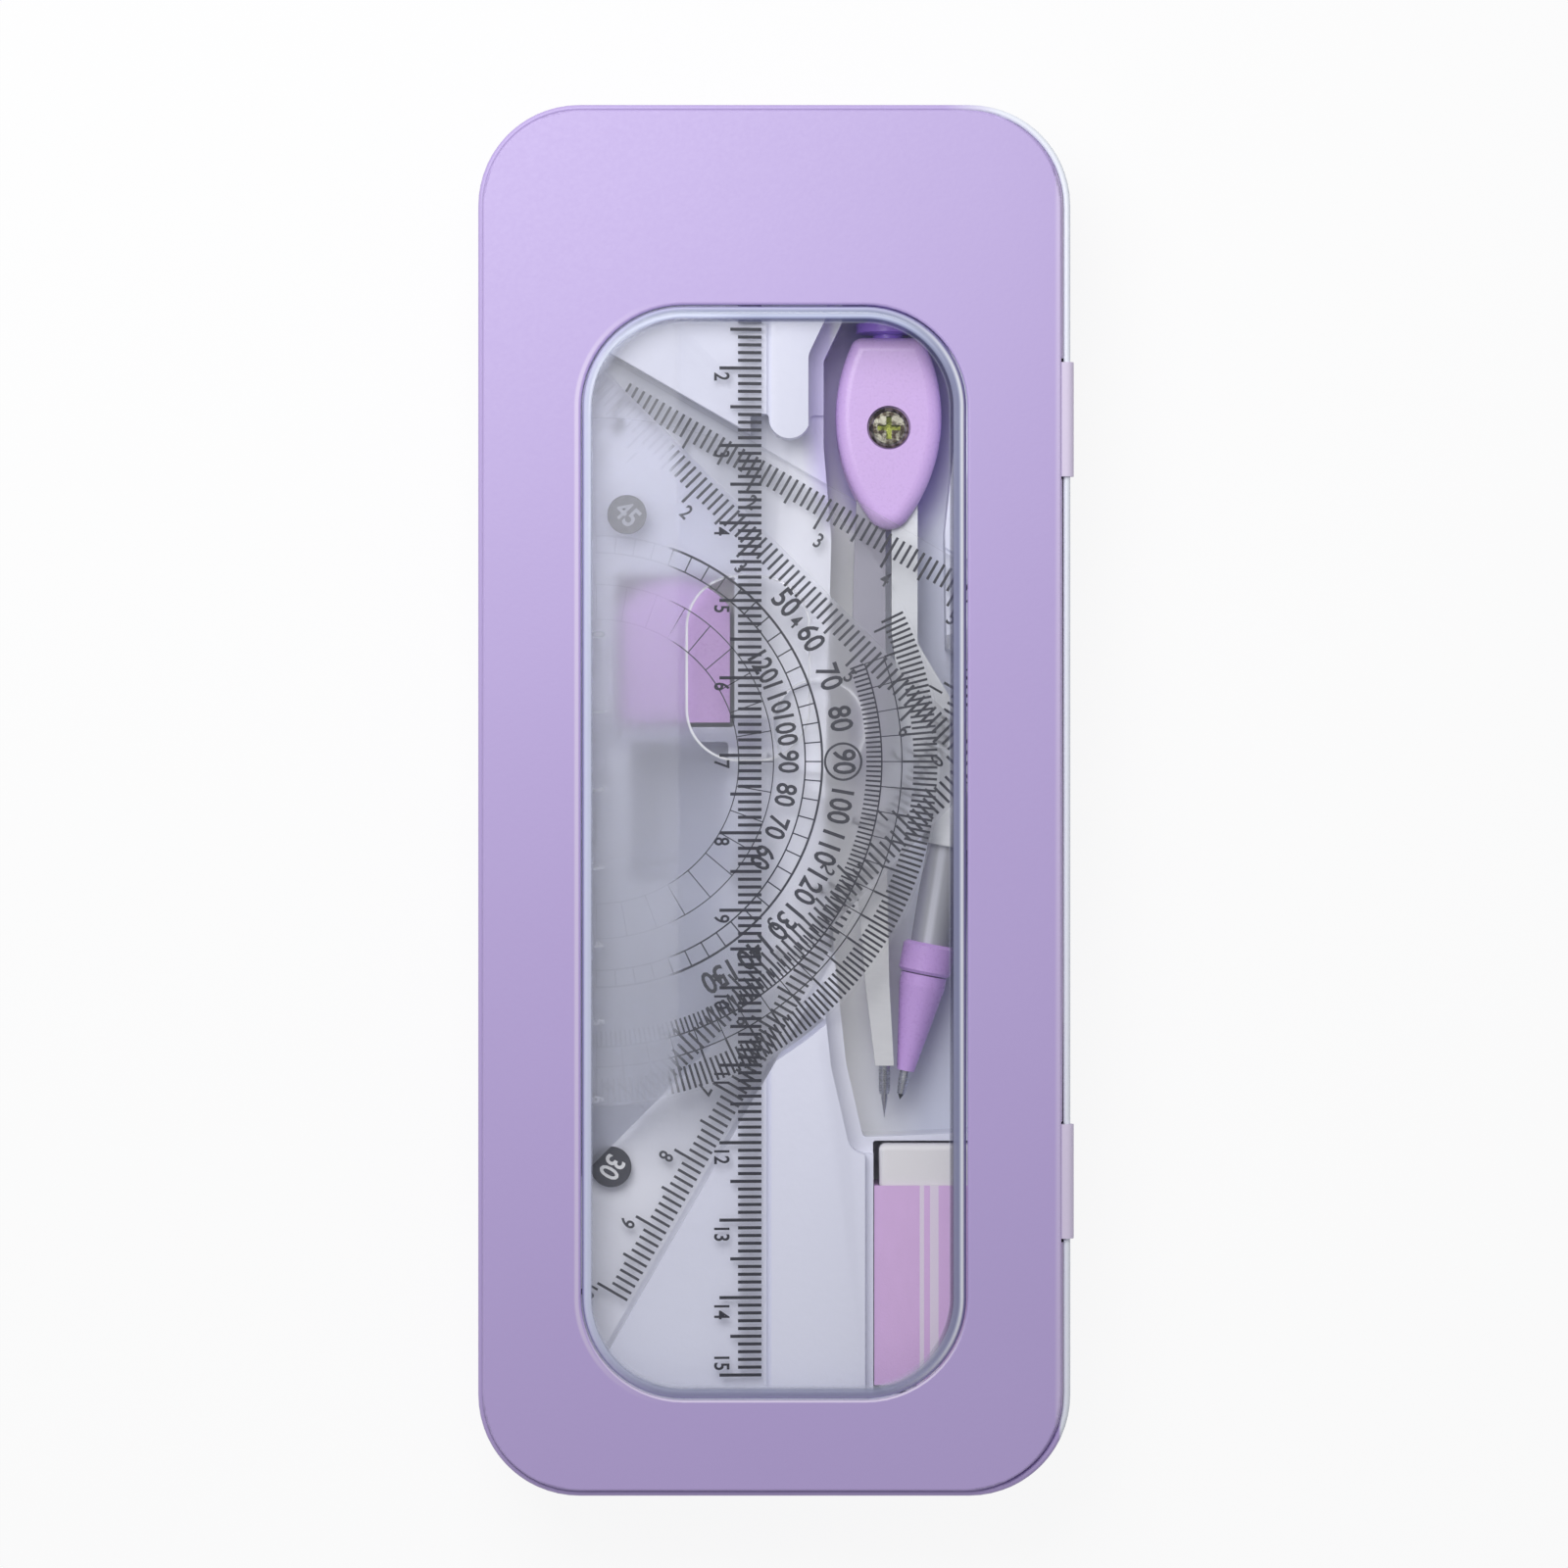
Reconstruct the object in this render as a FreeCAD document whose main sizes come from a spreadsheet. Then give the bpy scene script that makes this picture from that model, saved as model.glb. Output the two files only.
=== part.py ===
import FreeCAD, Part

# Drafting instrument case: a hinged window tin that holds a formed tray with drawing tools.
# Millimetres. X runs across the case towards its hinge, Y along it, Z up.
# The origin is the middle of the underside.
import math
import os
import types

import Sketcher

Vector = FreeCAD.Vector
doc = FreeCAD.newDocument("drafting_case")

# Driving dimensions
DIMENSIONS = {
    # Tin
    "case_length": 179.0,
    "case_width": 76.2,
    "lid_top": 18.0,
    "tin_sheet": 0.4,
    "rim_radius": 0.45,
    "rim_corner": 12.55,
    "rim_bulge": 0.1,
    "pan_round": 2.4,
    "lid_gap": 0.3,
    "lid_skirt": 2.4,
    "lid_round": 0.9,
    "lid_lap_side": 0.6,
    "lid_lap_end": 0.45,
    "lid_edge_round": 0.3,
    "hinge_drop": 0.25,
    "hinge_fit": 0.05,
    "hinge_length": 14.7,
    "hinge_offset": 49.0,
    "hinge_wrap": 240.0,
    "hinge_relief": 0.5,
    # Window
    "window_width": 49.7,
    "window_length": 140.8,
    "window_shift": -6.7,
    "window_corner": 13.2,
    "hem_width": 2.5,
    "hem_round": 0.35,
    "pane_sheet": 0.4,
    "pane_flange": 3.0,
    "pane_gap": 0.25,
    "pane_rise": 0.2,
    "pane_round": 0.9,
    # Tray
    "tray_sheet": 0.5,
    "tray_top": 14.8,
    "tray_gap": 0.4,
    "tray_foot": 2.8,
    "tool_gap": 0.6,
    "tool_floor": 9.9,
    "compass_step": 2.0,
    "compass_step_floor": 10.5,
    "island_x": 1.95,
    "island_y": 49.4,
    "island_round": 3.25,
    "spare_floor": 2.0,
    "eraser_floor": 2.2,
    "eraser_gap": 0.35,
    "eraser_ledge": 1.1,
    "eraser_ledge_floor": 13.4,
    # Flat tools
    "square_thick": 1.4,
    "square_60_side": 143.0,
    "square_60_x": 33.7,
    "square_60_y": 25.5,
    "square_60_hole": 5.9,
    "square_60_hole_x": 5.8,
    "square_60_hole_y": 9.6,
    "square_45_leg": 80.5,
    "square_45_x": 28.7,
    "square_45_y": 5.0,
    "square_45_slot_x": -3.4,
    "square_45_slot_y": 17.1,
    "square_45_slot_half": 7.8,
    "square_45_slot_long": 11.8,
    "square_45_slot_corner": 6.5,
    "protractor_radius": 44.5,
    "protractor_x": -23.0,
    "protractor_y": 5.0,
    "protractor_strip": 5.0,
    "protractor_thick": 1.2,
    "protractor_hole": 1.2,
    "ruler_length": 160.0,
    "ruler_left": -30.0,
    "ruler_right": -1.0,
    "ruler_thick": 1.6,
    "ruler_edge": 0.8,
    "ruler_bevel": 11.1,
    # Eraser and sharpener
    "eraser_x": 19.9,
    "eraser_y": -60.6,
    "eraser_width": 12.6,
    "eraser_length": 32.0,
    "eraser_low": 2.95,
    "eraser_thick": 9.8,
    "eraser_round": 0.9,
    "eraser_step": 2.9,
    "sleeve_card": 0.35,
    "sleeve_fit": 0.08,
    "sleeve_low": -75.7,
    "sleeve_length": 25.8,
    "sharpener_x": -12.9,
    "sharpener_low_y": 10.1,
    "sharpener_width": 14.2,
    "sharpener_side": 15.0,
    "sharpener_dome": 3.6,
    "sharpener_thick": 7.6,
    "sharpener_mouth": 3.5,
    "sharpener_point": 0.9,
    "sharpener_bore": 15.5,
    "blade_width": 5.6,
    "blade_length": 14.5,
    "blade_thick": 0.5,
    "blade_screw": 1.7,
    "blade_screw_head": 0.6,
    # Compass head
    "pivot_x": 14.9,
    "pivot_y": 48.5,
    "compass_mid": 5.2,
    "head_half": 6.9,
    "head_widest": 1.5,
    "head_crown": 11.8,
    "head_crown_round": 1.6,
    "head_tip": 13.2,
    "head_tip_round": 3.0,
    "head_thick": 8.6,
    "head_round": 1.8,
    "head_plate": 2.1,
    "pivot_radius": 1.5,
    "pivot_fit": 0.05,
    "pivot_head": 2.6,
    "pivot_head_seat": 2.85,
    "pivot_head_thick": 1.1,
    "nut_radius": 2.6,
    "nut_thick": 1.6,
    "washer_thick": 0.16,
    "handle_length": 20.0,
    "handle_radius": 3.0,
    "handle_flange": 4.2,
    # Compass legs
    "leg_thick": 4.0,
    "eye_radius": 4.6,
    "eye_gap": 0.2,
    "needle_x": 14.4,
    "needle_leg_end": -34.7,
    "ferrule_radius": 0.75,
    "ferrule_end": -38.5,
    "needle_radius": 0.4,
    "needle_tip": -41.7,
    "collar_x": 20.0,
    "collar_y": -20.8,
    "pencil_lean": 11.0,
    "barrel_radius": 2.8,
    "socket_radius": 3.7,
    "collar_radius": 3.45,
    "collar_half": 2.05,
    "cone_radius": 3.0,
    "cone_end": 14.9,
    "cone_tip_radius": 1.15,
    "nose_end": 18.0,
    "lead_radius": 0.35,
    "lead_end": 18.8,
}

sheet = doc.addObject("Spreadsheet::Sheet", "dims")
for row, (alias, number) in enumerate(DIMENSIONS.items(), 1):
    sheet.set(f"A{row}", alias)
    sheet.set(f"B{row}", str(number))
    sheet.setAlias(f"B{row}", alias)
doc.recompute()


class Size:
    """A length that keeps its number together with the sheet formula it comes from."""

    def __init__(self, number, formula):
        self.number = number
        self.formula = formula

    @staticmethod
    def of(other):
        return other if isinstance(other, Size) else Size(float(other), f"({float(other)})")

    def joined(self, other, sign, number):
        return Size(number, f"({self.formula} {sign} {Size.of(other).formula})")

    def __add__(self, other):
        return self.joined(other, "+", self.number + Size.of(other).number)

    def __sub__(self, other):
        return self.joined(other, "-", self.number - Size.of(other).number)

    def __mul__(self, other):
        return self.joined(other, "*", self.number * Size.of(other).number)

    def __truediv__(self, other):
        return self.joined(other, "/", self.number / Size.of(other).number)

    def __neg__(self):
        return Size(-self.number, f"(0 - {self.formula})")

    def __radd__(self, other):
        return Size.of(other) + self

    def __rsub__(self, other):
        return Size.of(other) - self

    def __rmul__(self, other):
        return Size.of(other) * self

    def sine(self):
        return Size(math.sin(math.radians(self.number)), f"sin({self.formula} * 1 deg)")

    def cosine(self):
        return Size(math.cos(math.radians(self.number)), f"cos({self.formula} * 1 deg)")


D = types.SimpleNamespace(
    **{alias: Size(sheet.get(alias), f"dims.{alias}") for alias in DIMENSIONS}
)
parts = {}

ALONG_X = FreeCAD.Rotation(Vector(0, 0, 1), Vector(1, 0, 0))
ALONG_Y = FreeCAD.Rotation(Vector(0, 0, 1), Vector(0, 1, 0))
UPRIGHT = FreeCAD.Rotation()
TURNED_UP = FreeCAD.Rotation(Vector(1, 0, 0), 90)


def bind(thing, name, size):
    thing.setExpression(name, Size.of(size).formula)


def place(thing, x, y, z, rotation=UPRIGHT):
    numbers = [Size.of(value).number for value in (x, y, z)]
    thing.Placement = FreeCAD.Placement(Vector(*numbers), rotation)
    for letter, value in zip("xyz", (x, y, z)):
        bind(thing, f"Placement.Base.{letter}", value)
    return thing


def keep(label, thing):
    """Marks an object of the document as a finished sub-part."""
    thing.Label = label
    parts[label] = thing
    return thing


# Sketches


def body_sketch(body, name, low=0.0, plane="XY_Plane"):
    """A sketch on one of the body's own planes, raised to a height."""
    sketch = body.newObject("Sketcher::SketchObject", name)
    support = next(item for item in body.Origin.OriginFeatures if item.Role == plane)
    sketch.AttachmentSupport = [(support, "")]
    sketch.MapMode = "FlatFace"
    bind(sketch, "AttachmentOffset.Base.z", low)
    return sketch


def measure(sketch, kind, *where, size):
    size = Size.of(size)
    index = sketch.addConstraint(Sketcher.Constraint(kind, *where, size.number))
    sketch.setExpression(f"Constraints[{index}]", size.formula)


def pin(sketch, line, end, x, y):
    """Holds one point of the sketch at a place."""
    measure(sketch, "DistanceX", -1, 1, line, end, size=x)
    measure(sketch, "DistanceY", -1, 1, line, end, size=y)


def flat(x, y):
    return Vector(Size.of(x).number, Size.of(y).number, 0)


def polygon(sketch, points):
    following = points[1:] + points[:1]
    first = sketch.GeometryCount
    for start, end in zip(points, following):
        sketch.addGeometry(Part.LineSegment(flat(*start), flat(*end)))
    for index, point in enumerate(points):
        after = first + (index + 1) % len(points)
        sketch.addConstraint(Sketcher.Constraint("Coincident", first + index, 2, after, 1))
        pin(sketch, first + index, 1, *point)
    return sketch


def circle(sketch, x, y, radius):
    index = sketch.addGeometry(Part.Circle(flat(x, y), Vector(0, 0, 1), Size.of(radius).number))
    pin(sketch, index, 3, x, y)
    measure(sketch, "Radius", index, size=radius)
    return sketch


def arc(x, y, radius, start, end):
    ring = Part.Circle(flat(x, y), Vector(0, 0, 1), Size.of(radius).number)
    return Part.ArcOfCircle(ring, math.radians(start), math.radians(end))


def rounded_rectangle(sketch, left, right, low, high, corner):
    """Four sides and four quarter arcs, in order round the outline."""
    inner = (left + corner, right - corner, low + corner, high - corner)
    sides = [
        ((inner[0], low), (inner[1], low)),
        ((right, inner[2]), (right, inner[3])),
        ((inner[1], high), (inner[0], high)),
        ((left, inner[3]), (left, inner[2])),
    ]
    centres = [
        (inner[1], inner[2]),
        (inner[1], inner[3]),
        (inner[0], inner[3]),
        (inner[0], inner[2]),
    ]
    for index, (start, end) in enumerate(sides):
        sketch.addGeometry(Part.LineSegment(flat(*start), flat(*end)))
        sketch.addGeometry(arc(*centres[index], corner, 90 * index - 90, 90 * index))
    for index in range(8):
        sketch.addConstraint(Sketcher.Constraint("Tangent", index, 2, (index + 1) % 8, 1))
    for index, centre in enumerate(centres):
        pin(sketch, 2 * index + 1, 3, *centre)
        measure(sketch, "Radius", 2 * index + 1, size=corner)
    return sketch


def loose_sketch(name):
    return doc.addObject("Sketcher::SketchObject", name)


# Solids


def new_body(name):
    return doc.addObject("PartDesign::Body", name)


def pad(body, sketch, length):
    feature = body.newObject("PartDesign::Pad", f"{sketch.Name}_pad")
    feature.Profile = sketch
    bind(feature, "Length", length)
    doc.recompute()
    return feature


def pocket(body, sketch, depth):
    """Cuts down from the sketch, and makes sure that something was cut."""
    before = body.Shape.Volume
    feature = body.newObject("PartDesign::Pocket", f"{sketch.Name}_pocket")
    feature.Profile = sketch
    bind(feature, "Length", depth)
    doc.recompute()
    if body.Shape.Volume > before - 1e-6:
        raise RuntimeError(f"{sketch.Name} cuts nothing")
    return feature


def round_edges(body, name, radius, chosen):
    base = body.Tip
    edges = [f"Edge{n}" for n, edge in enumerate(base.Shape.Edges, 1) if chosen(edge.BoundBox)]
    feature = body.newObject("PartDesign::Fillet", name)
    feature.Base = (base, edges)
    bind(feature, "Radius", radius)
    doc.recompute()
    return feature


def level_at(height):
    """Chooses edges that lie flat at one height."""
    number = Size.of(height).number
    return lambda box: abs(box.ZMin - number) < 1e-4 and abs(box.ZMax - number) < 1e-4


def plate(body, name, points, low, high):
    return pad(body, polygon(body_sketch(body, name, low), points), high - low)


def disc(body, name, x, y, radius, low, high):
    return pad(body, circle(body_sketch(body, name, low), x, y, radius), high - low)


def hole(body, name, x, y, radius, low, high):
    return pocket(body, circle(body_sketch(body, name, high), x, y, radius), high - low)


def rounded_block(name, half_x, half_y, corner, low, high, middle=(0.0, 0.0), top=None, bottom=None):
    """An upright block with rounded corners, and rounded top or bottom edges where given."""
    body = new_body(name)
    x, y = middle
    outline = body_sketch(body, f"{name}_outline", low)
    rounded_rectangle(outline, x - half_x, x + half_x, y - half_y, y + half_y, corner)
    pad(body, outline, high - low)
    if top is not None:
        round_edges(body, f"{name}_top", top, level_at(high))
    if bottom is not None:
        round_edges(body, f"{name}_bottom", bottom, level_at(low))
    return body


def turned(name, profile, x, y, z, rotation=UPRIGHT):
    """A turned piece: pairs of radius and place along its axis, spun about that axis."""
    body = new_body(name)
    sketch = polygon(body_sketch(body, f"{name}_profile"), profile)
    feature = body.newObject("PartDesign::Revolution", f"{name}_turn")
    feature.Profile = sketch
    feature.ReferenceAxis = (sketch, ["V_Axis"])
    feature.Angle = 360
    place(body, x, y, z, rotation)
    doc.recompute()
    return body


def box(name, left, right, near, far, low, high):
    solid = doc.addObject("Part::Box", name)
    bind(solid, "Length", right - left)
    bind(solid, "Width", far - near)
    bind(solid, "Height", high - low)
    return place(solid, left, near, low)


def rod(name, radius, length, x, y, z, rotation=UPRIGHT):
    solid = doc.addObject("Part::Cylinder", name)
    bind(solid, "Radius", radius)
    bind(solid, "Height", length)
    return place(solid, x, y, z, rotation)


def taper(name, first, last, length, x, y, z, rotation=UPRIGHT):
    solid = doc.addObject("Part::Cone", name)
    bind(solid, "Radius1", first)
    bind(solid, "Radius2", last)
    bind(solid, "Height", length)
    return place(solid, x, y, z, rotation)


def prism(name, outline, low, high):
    solid = doc.addObject("Part::Extrusion", name)
    solid.Base = outline
    solid.DirMode = "Custom"
    solid.Dir = Vector(0, 0, 1)
    solid.Solid = True
    bind(solid, "LengthFwd", high - low)
    return place(solid, 0.0, 0.0, low)


def grown(name, outline, by):
    """The outline moved outwards all round, or inwards where the size is negative."""
    wire = doc.addObject("Part::Offset2D", name)
    wire.Source = outline
    bind(wire, "Value", by)
    doc.recompute()
    return wire


def fuse(name, shapes):
    joined = doc.addObject("Part::MultiFuse", name)
    joined.Shapes = shapes
    joined.Refine = True
    doc.recompute()
    return joined


def cut(name, base, tool):
    result = doc.addObject("Part::Cut", name)
    result.Base = base
    result.Tool = tool
    doc.recompute()
    return result


# Heights and places that several pieces share
tab_inner = D.rim_radius + D.hinge_fit
tab_outer = tab_inner + D.tin_sheet
rim_z = D.lid_top - D.hinge_drop - tab_outer
rim_x = D.case_width / 2 - D.rim_radius
rim_y = D.case_length / 2 - D.rim_radius
wall_inset = D.rim_radius - D.rim_bulge
wall_x = rim_x - wall_inset
wall_y = rim_y - wall_inset
wall_corner = D.rim_corner - wall_inset
lid_inset = D.rim_radius + D.lid_gap
lid_x = rim_x - lid_inset
lid_y = rim_y - lid_inset
lid_corner = D.rim_corner - lid_inset
window_middle = (0.0, D.window_shift)
hem_low = D.lid_top - 2 * D.tin_sheet
square_45_low = D.tool_floor + D.square_thick
protractor_low = square_45_low + D.square_thick
ruler_low = protractor_low + D.protractor_thick
pocket_floor = D.tin_sheet + D.tray_sheet
hinge_places = (-D.hinge_offset, D.hinge_offset)


def make_base_tin():
    """A drawn pan whose edge is rolled into a bead, with a slot behind the bead at each hinge."""
    sheet_in = D.tin_sheet
    outside = rounded_block(
        "pan_outside", wall_x + sheet_in, wall_y + sheet_in, wall_corner + sheet_in,
        0.0, rim_z, bottom=D.pan_round,
    )
    inside = rounded_block(
        "pan_inside", wall_x, wall_y, wall_corner,
        sheet_in, rim_z + D.rim_radius * 2, bottom=D.pan_round - sheet_in,
    )
    pan = cut("pan", outside, inside)
    straight_x = rim_x - D.rim_corner
    straight_y = rim_y - D.rim_corner
    bead = []
    for n, side in enumerate((-1.0, 1.0)):
        long_start = (side * rim_x, -straight_y, rim_z)
        short_start = (-straight_x, side * rim_y, rim_z)
        bead.append(rod(f"rim_long_{n}", D.rim_radius, 2 * straight_y, *long_start, ALONG_Y))
        bead.append(rod(f"rim_short_{n}", D.rim_radius, 2 * straight_x, *short_start, ALONG_X))
    for n, (x, y) in enumerate(((1.0, 1.0), (-1.0, 1.0), (-1.0, -1.0), (1.0, -1.0))):
        corner = doc.addObject("Part::Torus", f"rim_corner_{n}")
        bind(corner, "Radius1", D.rim_corner)
        bind(corner, "Radius2", D.rim_radius)
        corner.Angle3 = 90
        quarter = FreeCAD.Rotation(Vector(0, 0, 1), 90 * n)
        bead.append(place(corner, x * straight_x, y * straight_y, rim_z, quarter))
    slots = []
    slot_radius = tab_outer + D.lid_gap
    slot_length = D.hinge_length + 2 * D.hinge_relief
    for n, y in enumerate(hinge_places):
        start = (rim_x, y - slot_length / 2, rim_z)
        slots.append(rod(f"slot_{n}", slot_radius, slot_length, *start, ALONG_Y))
    slotted = cut("slotted_pan", pan, fuse("hinge_slots", slots))
    return fuse("base_tin", [slotted, fuse("rim", bead)])


def make_lid_tin():
    """A shallow lid: a skirt inside the rim, a top that laps over it, a hemmed window and two hinge tabs."""
    skirt_low = D.lid_top - D.lid_skirt
    under = D.lid_top - D.tin_sheet
    strip_top = D.lid_top - D.hinge_drop
    skirt_high = under + 0.05
    skirt = rounded_block("lid_skirt_block", lid_x, lid_y, lid_corner, skirt_low, skirt_high)
    inside = rounded_block(
        "lid_inside", lid_x - D.tin_sheet, lid_y - D.tin_sheet, lid_corner - D.tin_sheet,
        skirt_low - 1.0, under,
    )
    top = rounded_block(
        "lid_top_plate", lid_x + D.lid_lap_side / 2, lid_y + D.lid_lap_end, lid_corner + D.lid_lap_side,
        under, D.lid_top, middle=(-D.lid_lap_side / 2, 0.0), top=D.lid_edge_round,
    )
    hem = rounded_block(
        "lid_hem", D.window_width / 2 + D.hem_width, D.window_length / 2 + D.hem_width,
        D.window_corner + D.hem_width, hem_low, under, middle=window_middle,
    )
    window = rounded_block(
        "lid_window", D.window_width / 2, D.window_length / 2, D.window_corner,
        hem_low - 1.0, D.lid_top + 1.0, middle=window_middle,
    )
    gaps = []
    tabs = []
    strip_start = lid_x - D.lid_round - D.tin_sheet
    gap_length = D.hinge_length + 2 * D.hinge_relief
    curl_turn = FreeCAD.Rotation(Vector(0, 0, 1), Vector(1, 0, 0), Vector(0, 1, 0), "ZXY")
    for n, y in enumerate(hinge_places):
        low_y = y - D.hinge_length / 2
        gaps.append(box(
            f"skirt_gap_{n}", lid_x - D.lid_round, rim_x,
            y - gap_length / 2, y + gap_length / 2, skirt_low - 1.0, under,
        ))
        high_y = low_y + D.hinge_length
        tabs.append(box(
            f"tab_strip_{n}", strip_start, rim_x, low_y, high_y, under - D.hinge_drop, strip_top,
        ))
        curl = rod(f"tab_curl_{n}", tab_outer, D.hinge_length, rim_x, low_y, rim_z, curl_turn)
        bind(curl, "Angle", D.hinge_wrap)
        bore = rod(f"tab_bore_{n}", tab_inner, D.hinge_length, rim_x, low_y, rim_z, ALONG_Y)
        tabs.append(cut(f"tab_ring_{n}", curl, bore))
    shell = fuse("lid_hemmed", [cut("lid_shell", skirt, inside), top, hem])
    opened = cut("lid_opened", shell, fuse("lid_cutters", gaps + [window]))
    whole = fuse("lid_tabbed", [opened] + tabs)
    rounded = doc.addObject("Part::Fillet", "lid_tin")
    rounded.Base = whole
    chosen = level_at(D.lid_top)
    reach_x = D.window_width.number / 2 + 0.01
    edges = []
    for n, edge in enumerate(whole.Shape.Edges, 1):
        limits = edge.BoundBox
        if chosen(limits) and max(abs(limits.XMin), abs(limits.XMax)) < reach_x:
            on_window = abs(limits.Center.y - D.window_shift.number) < D.window_length.number / 2 + 0.01
            if on_window:
                edges.append((n, D.hem_round.number, D.hem_round.number))
    rounded.Edges = edges
    doc.recompute()
    return rounded


def make_window_pane():
    """A clear formed pane: a flange glued under the hem and a plateau that fills the opening."""
    flange = rounded_block(
        "pane_flange", D.window_width / 2 + D.pane_flange, D.window_length / 2 + D.pane_flange,
        D.window_corner + D.pane_flange, hem_low - D.pane_sheet, hem_low, middle=window_middle,
    )
    half_x = D.window_width / 2 - D.pane_gap
    half_y = D.window_length / 2 - D.pane_gap
    corner = D.window_corner - D.pane_gap
    top = D.lid_top + D.pane_rise
    plateau = rounded_block(
        "pane_plateau", half_x, half_y, corner, hem_low - D.pane_sheet, top,
        middle=window_middle, top=D.pane_round,
    )
    hollow = rounded_block(
        "pane_hollow", half_x - D.pane_sheet, half_y - D.pane_sheet, corner - D.pane_sheet,
        hem_low - D.pane_sheet - 1.0, top - D.pane_sheet,
        middle=window_middle, top=D.pane_round - D.pane_sheet,
    )
    return cut("window_pane", fuse("pane_outside", [flange, plateau]), hollow)


# Outlines of the flat tools, shared by the tools and by their recesses in the tray


def square_60_outline():
    """Right angle on the hinge side, long side upright at the left."""
    across = math.sqrt(3) / 4 * D.square_60_side
    return polygon(loose_sketch("square_60_outline"), [
        (D.square_60_x, D.square_60_y),
        (D.square_60_x - across, D.square_60_y + D.square_60_side / 4),
        (D.square_60_x - across, D.square_60_y - 3 * D.square_60_side / 4),
    ])


def square_45_outline():
    reach = math.sqrt(0.5) * D.square_45_leg
    return polygon(loose_sketch("square_45_outline"), [
        (D.square_45_x, D.square_45_y),
        (D.square_45_x - reach, D.square_45_y + reach),
        (D.square_45_x - reach, D.square_45_y - reach),
    ])


def half_round(name, x, y, radius, strip):
    """A half disc that bulges to the hinge side, with a straight strip along its flat edge."""
    sketch = loose_sketch(name)
    sketch.addGeometry(arc(x, y, radius, -90, 90))
    corners = [(x, y + radius), (x - strip, y + radius), (x - strip, y - radius), (x, y - radius)]
    for start, end in zip(corners, corners[1:]):
        sketch.addGeometry(Part.LineSegment(flat(*start), flat(*end)))
    for index in range(4):
        sketch.addConstraint(Sketcher.Constraint("Coincident", index, 2, (index + 1) % 4, 1))
    pin(sketch, 0, 3, x, y)
    for index, corner in enumerate(corners[:3]):
        pin(sketch, index + 1, 1, *corner)
    measure(sketch, "DistanceX", -1, 1, 0, 1, size=x)
    return sketch


def rectangle(name, left, right, low, high):
    return polygon(loose_sketch(name), [(left, low), (right, low), (right, high), (left, high)])


def compass_outline():
    """The compass pocket: round the head and handle, then along both legs with room for their swing."""
    return polygon(loose_sketch("compass_outline"), [
        (9.6, 82.4), (20.2, 82.4), (20.4, 62.0), (22.8, 57.0), (22.8, 46.0), (21.6, 35.0), (21.8, 19.5),
        (33.0, 13.5), (33.2, -5.0), (29.0, -22.0), (25.5, -42.6), (12.0, -43.2), (9.9, -34.0),
        (8.4, -20.0), (7.2, 0.0), (8.0, 34.0), (7.0, 46.0), (7.0, 57.0), (9.4, 62.0),
    ])


def island_relief_outline():
    """Clears the deck between ruler and compass below a round end, in line with the tools' floor."""
    x, y, radius = D.island_x, D.island_y, D.island_round
    left = x - radius - 1.2
    right = x + radius + 1.2
    low = y - 9.4
    sketch = loose_sketch("island_relief_outline")
    corners = [(x - radius, y), (left, y), (left, low), (right, low), (right, y), (x + radius, y)]
    for start, end in zip(corners, corners[1:]):
        sketch.addGeometry(Part.LineSegment(flat(*start), flat(*end)))
    sketch.addGeometry(arc(x, y, radius, 180, 360))
    for index in range(4):
        sketch.addConstraint(Sketcher.Constraint("Coincident", index, 2, index + 1, 1))
    sketch.addConstraint(Sketcher.Constraint("Coincident", 4, 2, 5, 2))
    sketch.addConstraint(Sketcher.Constraint("Coincident", 5, 1, 0, 1))
    for index, corner in enumerate(corners[:5]):
        pin(sketch, index, 1, *corner)
    pin(sketch, 5, 3, x, y)
    measure(sketch, "DistanceY", -1, 1, 4, 2, size=y)
    return sketch


outline_60 = square_60_outline()
outline_45 = square_45_outline()
outline_protractor = half_round(
    "protractor_outline", D.protractor_x, D.protractor_y, D.protractor_radius, D.protractor_strip
)
outline_ruler = rectangle(
    "ruler_outline", D.ruler_left, D.ruler_right, -D.ruler_length / 2, D.ruler_length / 2
)
outline_compass = compass_outline()
outline_island = island_relief_outline()
eraser_half = D.eraser_width / 2 + D.sleeve_card + D.sleeve_fit
eraser_low_y = D.eraser_y - D.eraser_length / 2
eraser_high_y = D.eraser_y + D.eraser_length / 2
outline_eraser = rectangle(
    "eraser_outline", D.eraser_x - eraser_half, D.eraser_x + eraser_half, eraser_low_y, eraser_high_y
)
outline_sleeve = rectangle(
    "sleeve_outline", D.eraser_x - eraser_half, D.eraser_x + eraser_half,
    eraser_low_y, eraser_high_y - D.eraser_step,
)
sharpener_half = D.sharpener_width / 2
outline_sharpener = rectangle(
    "sharpener_outline", D.sharpener_x - sharpener_half, D.sharpener_x + sharpener_half,
    D.sharpener_low_y, D.sharpener_low_y + D.sharpener_side + D.sharpener_dome,
)
outline_spare = rectangle("spare_outline", -18.1, -6.6, -10.0, 7.0)


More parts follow.
